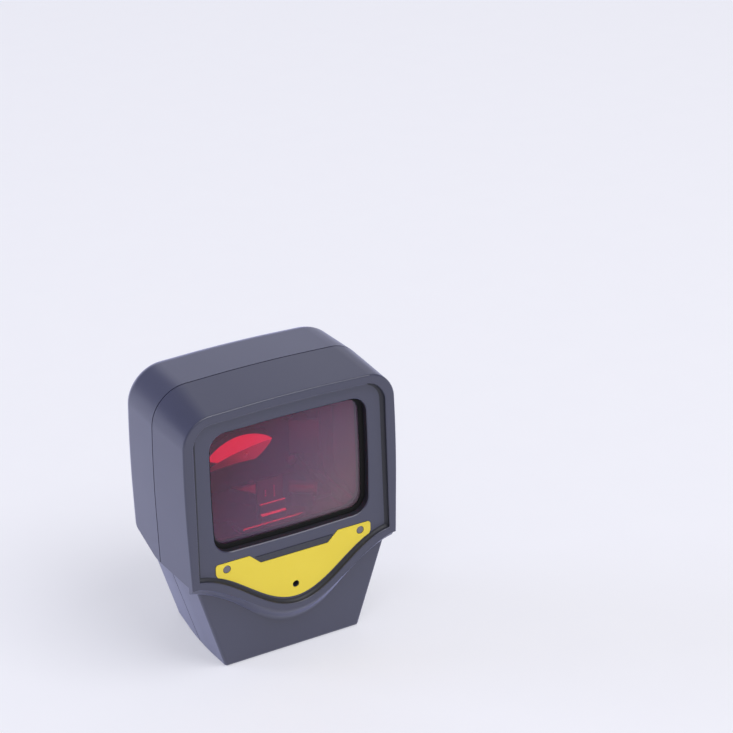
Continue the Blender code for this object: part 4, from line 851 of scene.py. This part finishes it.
def make_collecting_mirror(silver, satin):
    """Strip of hollow mirror, lofted through upright sections from tip to tip."""
    low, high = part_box("collecting_mirror")
    middle, half, curve, lean = -5 * MM, 20 * MM, 75 * MM, tan(radians(6.5))
    rings = []
    for k in range(37):
        x = middle + half * sin(radians(-47 + 137 * k / 36))
        share = max(0, 1 - ((x - middle) / half) ** 2) ** 0.8
        chord = chord_z(x)
        bottom = max(low.z + 0.1 * MM, chord - 0.2 * MM - 9 * MM * share)
        top = chord + 0.2 * MM + 7.4 * MM * share
        dish = (16.5 * MM) ** 2 / (2 * curve) - (x + 2 * MM) ** 2 / (2 * curve)
        front = [Vector((x, low.y + dish + lean * (z - low.z), z)) for z in (top, chord, bottom)]
        rings.append(front + [Vector((x, high.y, bottom)), Vector((x, high.y, top))])
    made = loft("hollow_collecting_mirror", rings, silver)
    made.data.materials.append(satin)
    for face in made.data.polygons:
        place = face.center
        if place.z < chord_z(place.x) - 0.05 * MM and place.y < high.y - 0.02 * MM:
            face.material_index = 1
    shade(made)
    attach(made, "housing")
    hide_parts("collecting_mirror")
    print(made.name, len(made.data.polygons), "faces")


def metal(name, colour, roughness):
    """Metal with fine uneven polish."""
    made, tree, shader = start_material(name, (
        ("Base Color", linear_rgb(colour)), ("Metallic", 1.0), ("Roughness", roughness)))
    place = add_node(tree, "ShaderNodeTexCoord").outputs["Object"]
    cloud = add_node(tree, "ShaderNodeTexNoise", (("Vector", place), ("Scale", 1 / (3 * MM))))
    gloss = add_node(tree, "ShaderNodeMapRange", (
        ("Value", cloud.outputs["Fac"]), ("To Min", roughness * 0.8), ("To Max", roughness * 1.2)))
    tree.links.new(gloss.outputs["Result"], shader.inputs["Roughness"])
    return made


make_collecting_mirror(metal("front_silvered_glass", "fcfcfe", 0.01),
                       metal("etched_aluminium_film", "d6d8dc", 0.3))

# %% [markdown]
# ## Sensor bracket, its board and the deck's edge
# The bracket at the front of the deck is a block of bright steel with a step, and its rounded
# edges catch the room as two bright lines. A thin rolled strip lies along the deck's front edge.
# The small board, green lacquer over glass cloth, shows two columns of solder joints, which are
# drops of tin: spheres pressed flat and half sunk in the board.

# %% Bracket, board and strip
def make_bracket(steel):
    """Stepped block with rounded edges, lofted from side to side."""
    low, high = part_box("sensor_bracket")
    step, rise = low.y + 1.2 * MM, low.z + 3.6 * MM
    corners = [
        (low.y, low.z, 0, 1), (high.y, low.z, 0, 1), (high.y, high.z, 0.3 * MM, 4),
        (step, high.z, 0.5 * MM, 6), (step, rise, 0.3 * MM, 4), (low.y, rise, 0.9 * MM, 8),
    ]
    rings = []
    for x, inset in ((low.x, 0.25 * MM), (low.x + 0.25 * MM, 0), (high.x - 0.25 * MM, 0),
                     (high.x, 0.25 * MM)):
        rings.append([Vector((x, p.x, p.y)) for p in outline(offset(corners, inset))])
    made = loft("stepped_steel_bracket", rings, steel)
    shade(made)
    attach(made, "housing")
    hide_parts("sensor_bracket")
    print(made.name, len(made.data.polygons), "faces")


def make_sensor_board(laminate, tin):
    """Small board with two columns of solder joints on its front."""
    low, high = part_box("sensor_board")
    bm = bmesh.new()
    for x, start, count in ((-2.4 * MM, 70.8 * MM, 3), (2.1 * MM, 69.7 * MM, 5)):
        for k in range(count):
            place = Matrix.Translation((x, low.y + 0.12 * MM, start + 1.2 * MM * k))
            squash = Matrix.Diagonal((1, 0.75, 1, 1))
            bmesh.ops.create_uvsphere(bm, u_segments=16, v_segments=10, radius=0.4 * MM,
                                      matrix=place @ squash)
    for face in bm.faces:
        face.material_index = 1
    size = high - low
    joints = set(bm.faces)
    bmesh.ops.create_cube(bm, size=1, matrix=Matrix.Translation(
        (0, (low.y + high.y) / 2 + 0.06 * MM, (low.z + high.z) / 2)) @ Matrix.Diagonal(
        (size.x, size.y - 0.12 * MM, size.z, 1)))
    edges = [e for e in bm.edges if not joints.intersection(e.link_faces)]
    bmesh.ops.bevel(bm, geom=edges, offset=0.15 * MM, segments=2, profile=0.5, affect="EDGES",
                    material=-1)
    made = new_object("soldered_sensor_board", bm, laminate)
    made.data.materials.append(tin)
    shade(made)
    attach(made, "housing")
    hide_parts("sensor_board")
    print(made.name, len(made.data.polygons), "faces")


def make_edge_strip(steel):
    """Half-round bright strip on the deck's front edge."""
    middle_y, middle_z = -18.45 * MM, 58.4 * MM
    rings = []
    for x, radius in ((-16.4, 0.1), (-16.2, 0.42), (13.3, 0.42), (13.5, 0.1)):
        rings.append([Vector((x * MM, middle_y - radius * MM * cos(a),
                              middle_z + radius * MM * sin(a)))
                      for a in (2 * pi * k / 16 for k in range(16))])
    made = loft("rolled_steel_edge_strip", rings, steel)
    shade(made)
    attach(made, "housing")
    print(made.name, len(made.data.polygons), "faces")


board = moulded_plastic("green_fibreglass_board", "1f4a2e", "245434", 0.45)
bright_steel = metal("zinc_plated_steel_block", "d4d7dc", 0.22)
make_bracket(bright_steel)
make_edge_strip(bright_steel)
make_sensor_board(board, metal("reflowed_tin", "e4e5e8", 0.35))

# %% [markdown]
# ## Shell screws
# Four screws hold the two shells together, deep in bores in the back. Each has a domed head with a
# cross recess, a shank that tapers to a point and a film of zinc. A loft through circles makes the
# screw, and two tapered slots are cut out of the head.

# %% Shell screws
def slot_form(name, middle, top, along):
    """Tapered slot, wide at the head's face and narrow at its bottom."""
    rings = []
    for half, thick, y in ((1.5, 0.38, top + 0.3 * MM), (1.35, 0.36, top),
                           (0.5, 0.22, top - 1.3 * MM)):
        a, b = (half, thick) if along else (thick, half)
        rings.append([Vector((middle.x + i * a * MM, y, middle.z + k * b * MM))
                      for i, k in ((-1, -1), (1, -1), (1, 1), (-1, 1))])
    return loft(name, rings)


def make_shell_screws(steel):
    """Domed screws with a cross recess, standing in the bores at the back."""
    for n in range(1, 5):
        low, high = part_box(f"shell_screw_{n}")
        middle, radius = (low + high) / 2, (high.x - low.x) / 2
        head = SCREW_HEAD_Y
        profile = [(0.2 * MM, low.y), (0.9 * MM, low.y + 1.2 * MM), (1.3 * MM, low.y + 2.4 * MM),
                   (1.3 * MM, head - 0.1 * MM), (1.5 * MM, head), (radius - 0.1 * MM, head),
                   (radius, head + 0.12 * MM), (radius, head + 0.45 * (high.y - head))]
        profile += [(radius * cos(a), head + (0.45 + 0.55 * sin(a)) * (high.y - head))
                    for a in (radians(12 * k) for k in range(1, 7))]
        profile.append((0.3 * MM, high.y))
        made = loft(f"cross_head_shell_screw_{n}", [
            [Vector((middle.x + r * cos(a), y, middle.z + r * sin(a)))
             for a in (2 * pi * k / 40 for k in range(40))] for r, y in profile], steel)
        slots = [slot_form(f"screw_slot_{n}_{k}", middle, high.y, k == 0) for k in range(2)]
        for cutter in slots:
            carve(made, cutter)
        settle(made, slots)
        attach(made, "housing")
        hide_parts(f"shell_screw_{n}")
        print(made.name, len(made.data.polygons), "faces")


make_shell_screws(metal("zinc_film_on_steel", "a8acb2", 0.3))

# %% [markdown]
# ## The works behind the window
# Flat mirrors, screws, boards and blocks keep their CAD shapes and get real finishes. The deck is
# black, and its front edge is milled bright. The bevel node bends the normals near each edge, so
# the sharp CAD edges catch the light as moulded ones do. A metal keeps its own colour, and the way
# it was worked sets how sharply it mirrors: a turned facet does, and a cast bearing hardly.

# %% Finishes of the CAD pieces
EDGE_FRONT_Y, EDGE_LOW_Z = -18.1 * MM, 58.3 * MM


def black_deck():
    """Black moulding with softened edges and a bright milled front edge."""
    made, tree, shader = start_material("black_deck_with_milled_edge", (("Roughness", 0.5),))
    place = add_node(tree, "ShaderNodeTexCoord").outputs["Object"]
    cloud = add_node(tree, "ShaderNodeTexNoise", (("Vector", place), ("Scale", 1 / (12 * MM))))
    tone = add_node(tree, "ShaderNodeMix", (
        ("Factor", cloud.outputs["Fac"]), ("A", linear_rgb("121214")), ("B", linear_rgb("1a1a1d"))),
        data_type="RGBA")
    spot = add_node(tree, "ShaderNodeSeparateXYZ", (("Vector", place),))
    front = add_node(tree, "ShaderNodeMath", (
        (0, spot.outputs["Y"]), (1, EDGE_FRONT_Y)), operation="LESS_THAN")
    upper = add_node(tree, "ShaderNodeMath", (
        (0, spot.outputs["Z"]), (1, EDGE_LOW_Z)), operation="GREATER_THAN")
    bright = add_node(tree, "ShaderNodeMath", (
        (0, front.outputs[0]), (1, upper.outputs[0])), operation="MULTIPLY")
    colour = add_node(tree, "ShaderNodeMix", (
        ("Factor", bright.outputs[0]), ("A", tone.outputs["Result"]), ("B", linear_rgb("d0d2d6"))),
        data_type="RGBA")
    gloss = add_node(tree, "ShaderNodeMapRange", (
        ("Value", bright.outputs[0]), ("To Min", 0.5), ("To Max", 0.2)))
    soft = add_node(tree, "ShaderNodeBevel", (("Radius", 0.6 * MM),), samples=6)
    tree.links.new(colour.outputs["Result"], shader.inputs["Base Color"])
    tree.links.new(bright.outputs[0], shader.inputs["Metallic"])
    tree.links.new(gloss.outputs["Result"], shader.inputs["Roughness"])
    tree.links.new(soft.outputs["Normal"], shader.inputs["Normal"])
    return made


mirror = metal("aluminised_fold_mirror", "4c4d52", 0.3)
zinc = metal("zinc_plated_steel", "9fa3a8", 0.32)
FINISHES = {
    "fold_mirror": mirror,
    "mirror_wheel": metal("diamond_turned_aluminium", "dfe2e6", 0.06),
    "motor_shaft": metal("ground_steel", "c4c7cb", 0.2),
    "motor_bearing": metal("sintered_bronze", "9a7a4a", 0.45),
    "laser_module": metal("turned_brass", "6e6148", 0.5),
    "laser_mount": metal("anodised_aluminium", "2c2c30", 0.45),
    "spin_motor": zinc, "board_screw": zinc, "chassis_screw": zinc, "indicator_screw": zinc,
    "retainer_screw": zinc,
    "optics_chassis": black_deck(), "window_retainer": deck_black,
    "photodiode": moulded_plastic("filter_glass", "3a1420", "401624", 0.1),
    "ribbon_connector": moulded_plastic("cream_nylon", "d8d2be", "dcd6c4", 0.5),
}
black_part = moulded_plastic("black_moulding_epoxy", "17171a", "1c1c1f", 0.5)
clear_part = moulded_plastic("clear_diode_epoxy", "c8c6c0", "d0cec8", 0.15)
for name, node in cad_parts.items():
    if node.hide_render:
        continue
    finish = next((m for start, m in FINISHES.items() if name.startswith(start)), None)
    if finish is None:
        finish = board if name.endswith("board") else clear_part if "led" in name else black_part
    for slot in node.material_slots:
        slot.material = finish
    print(name, finish.name)
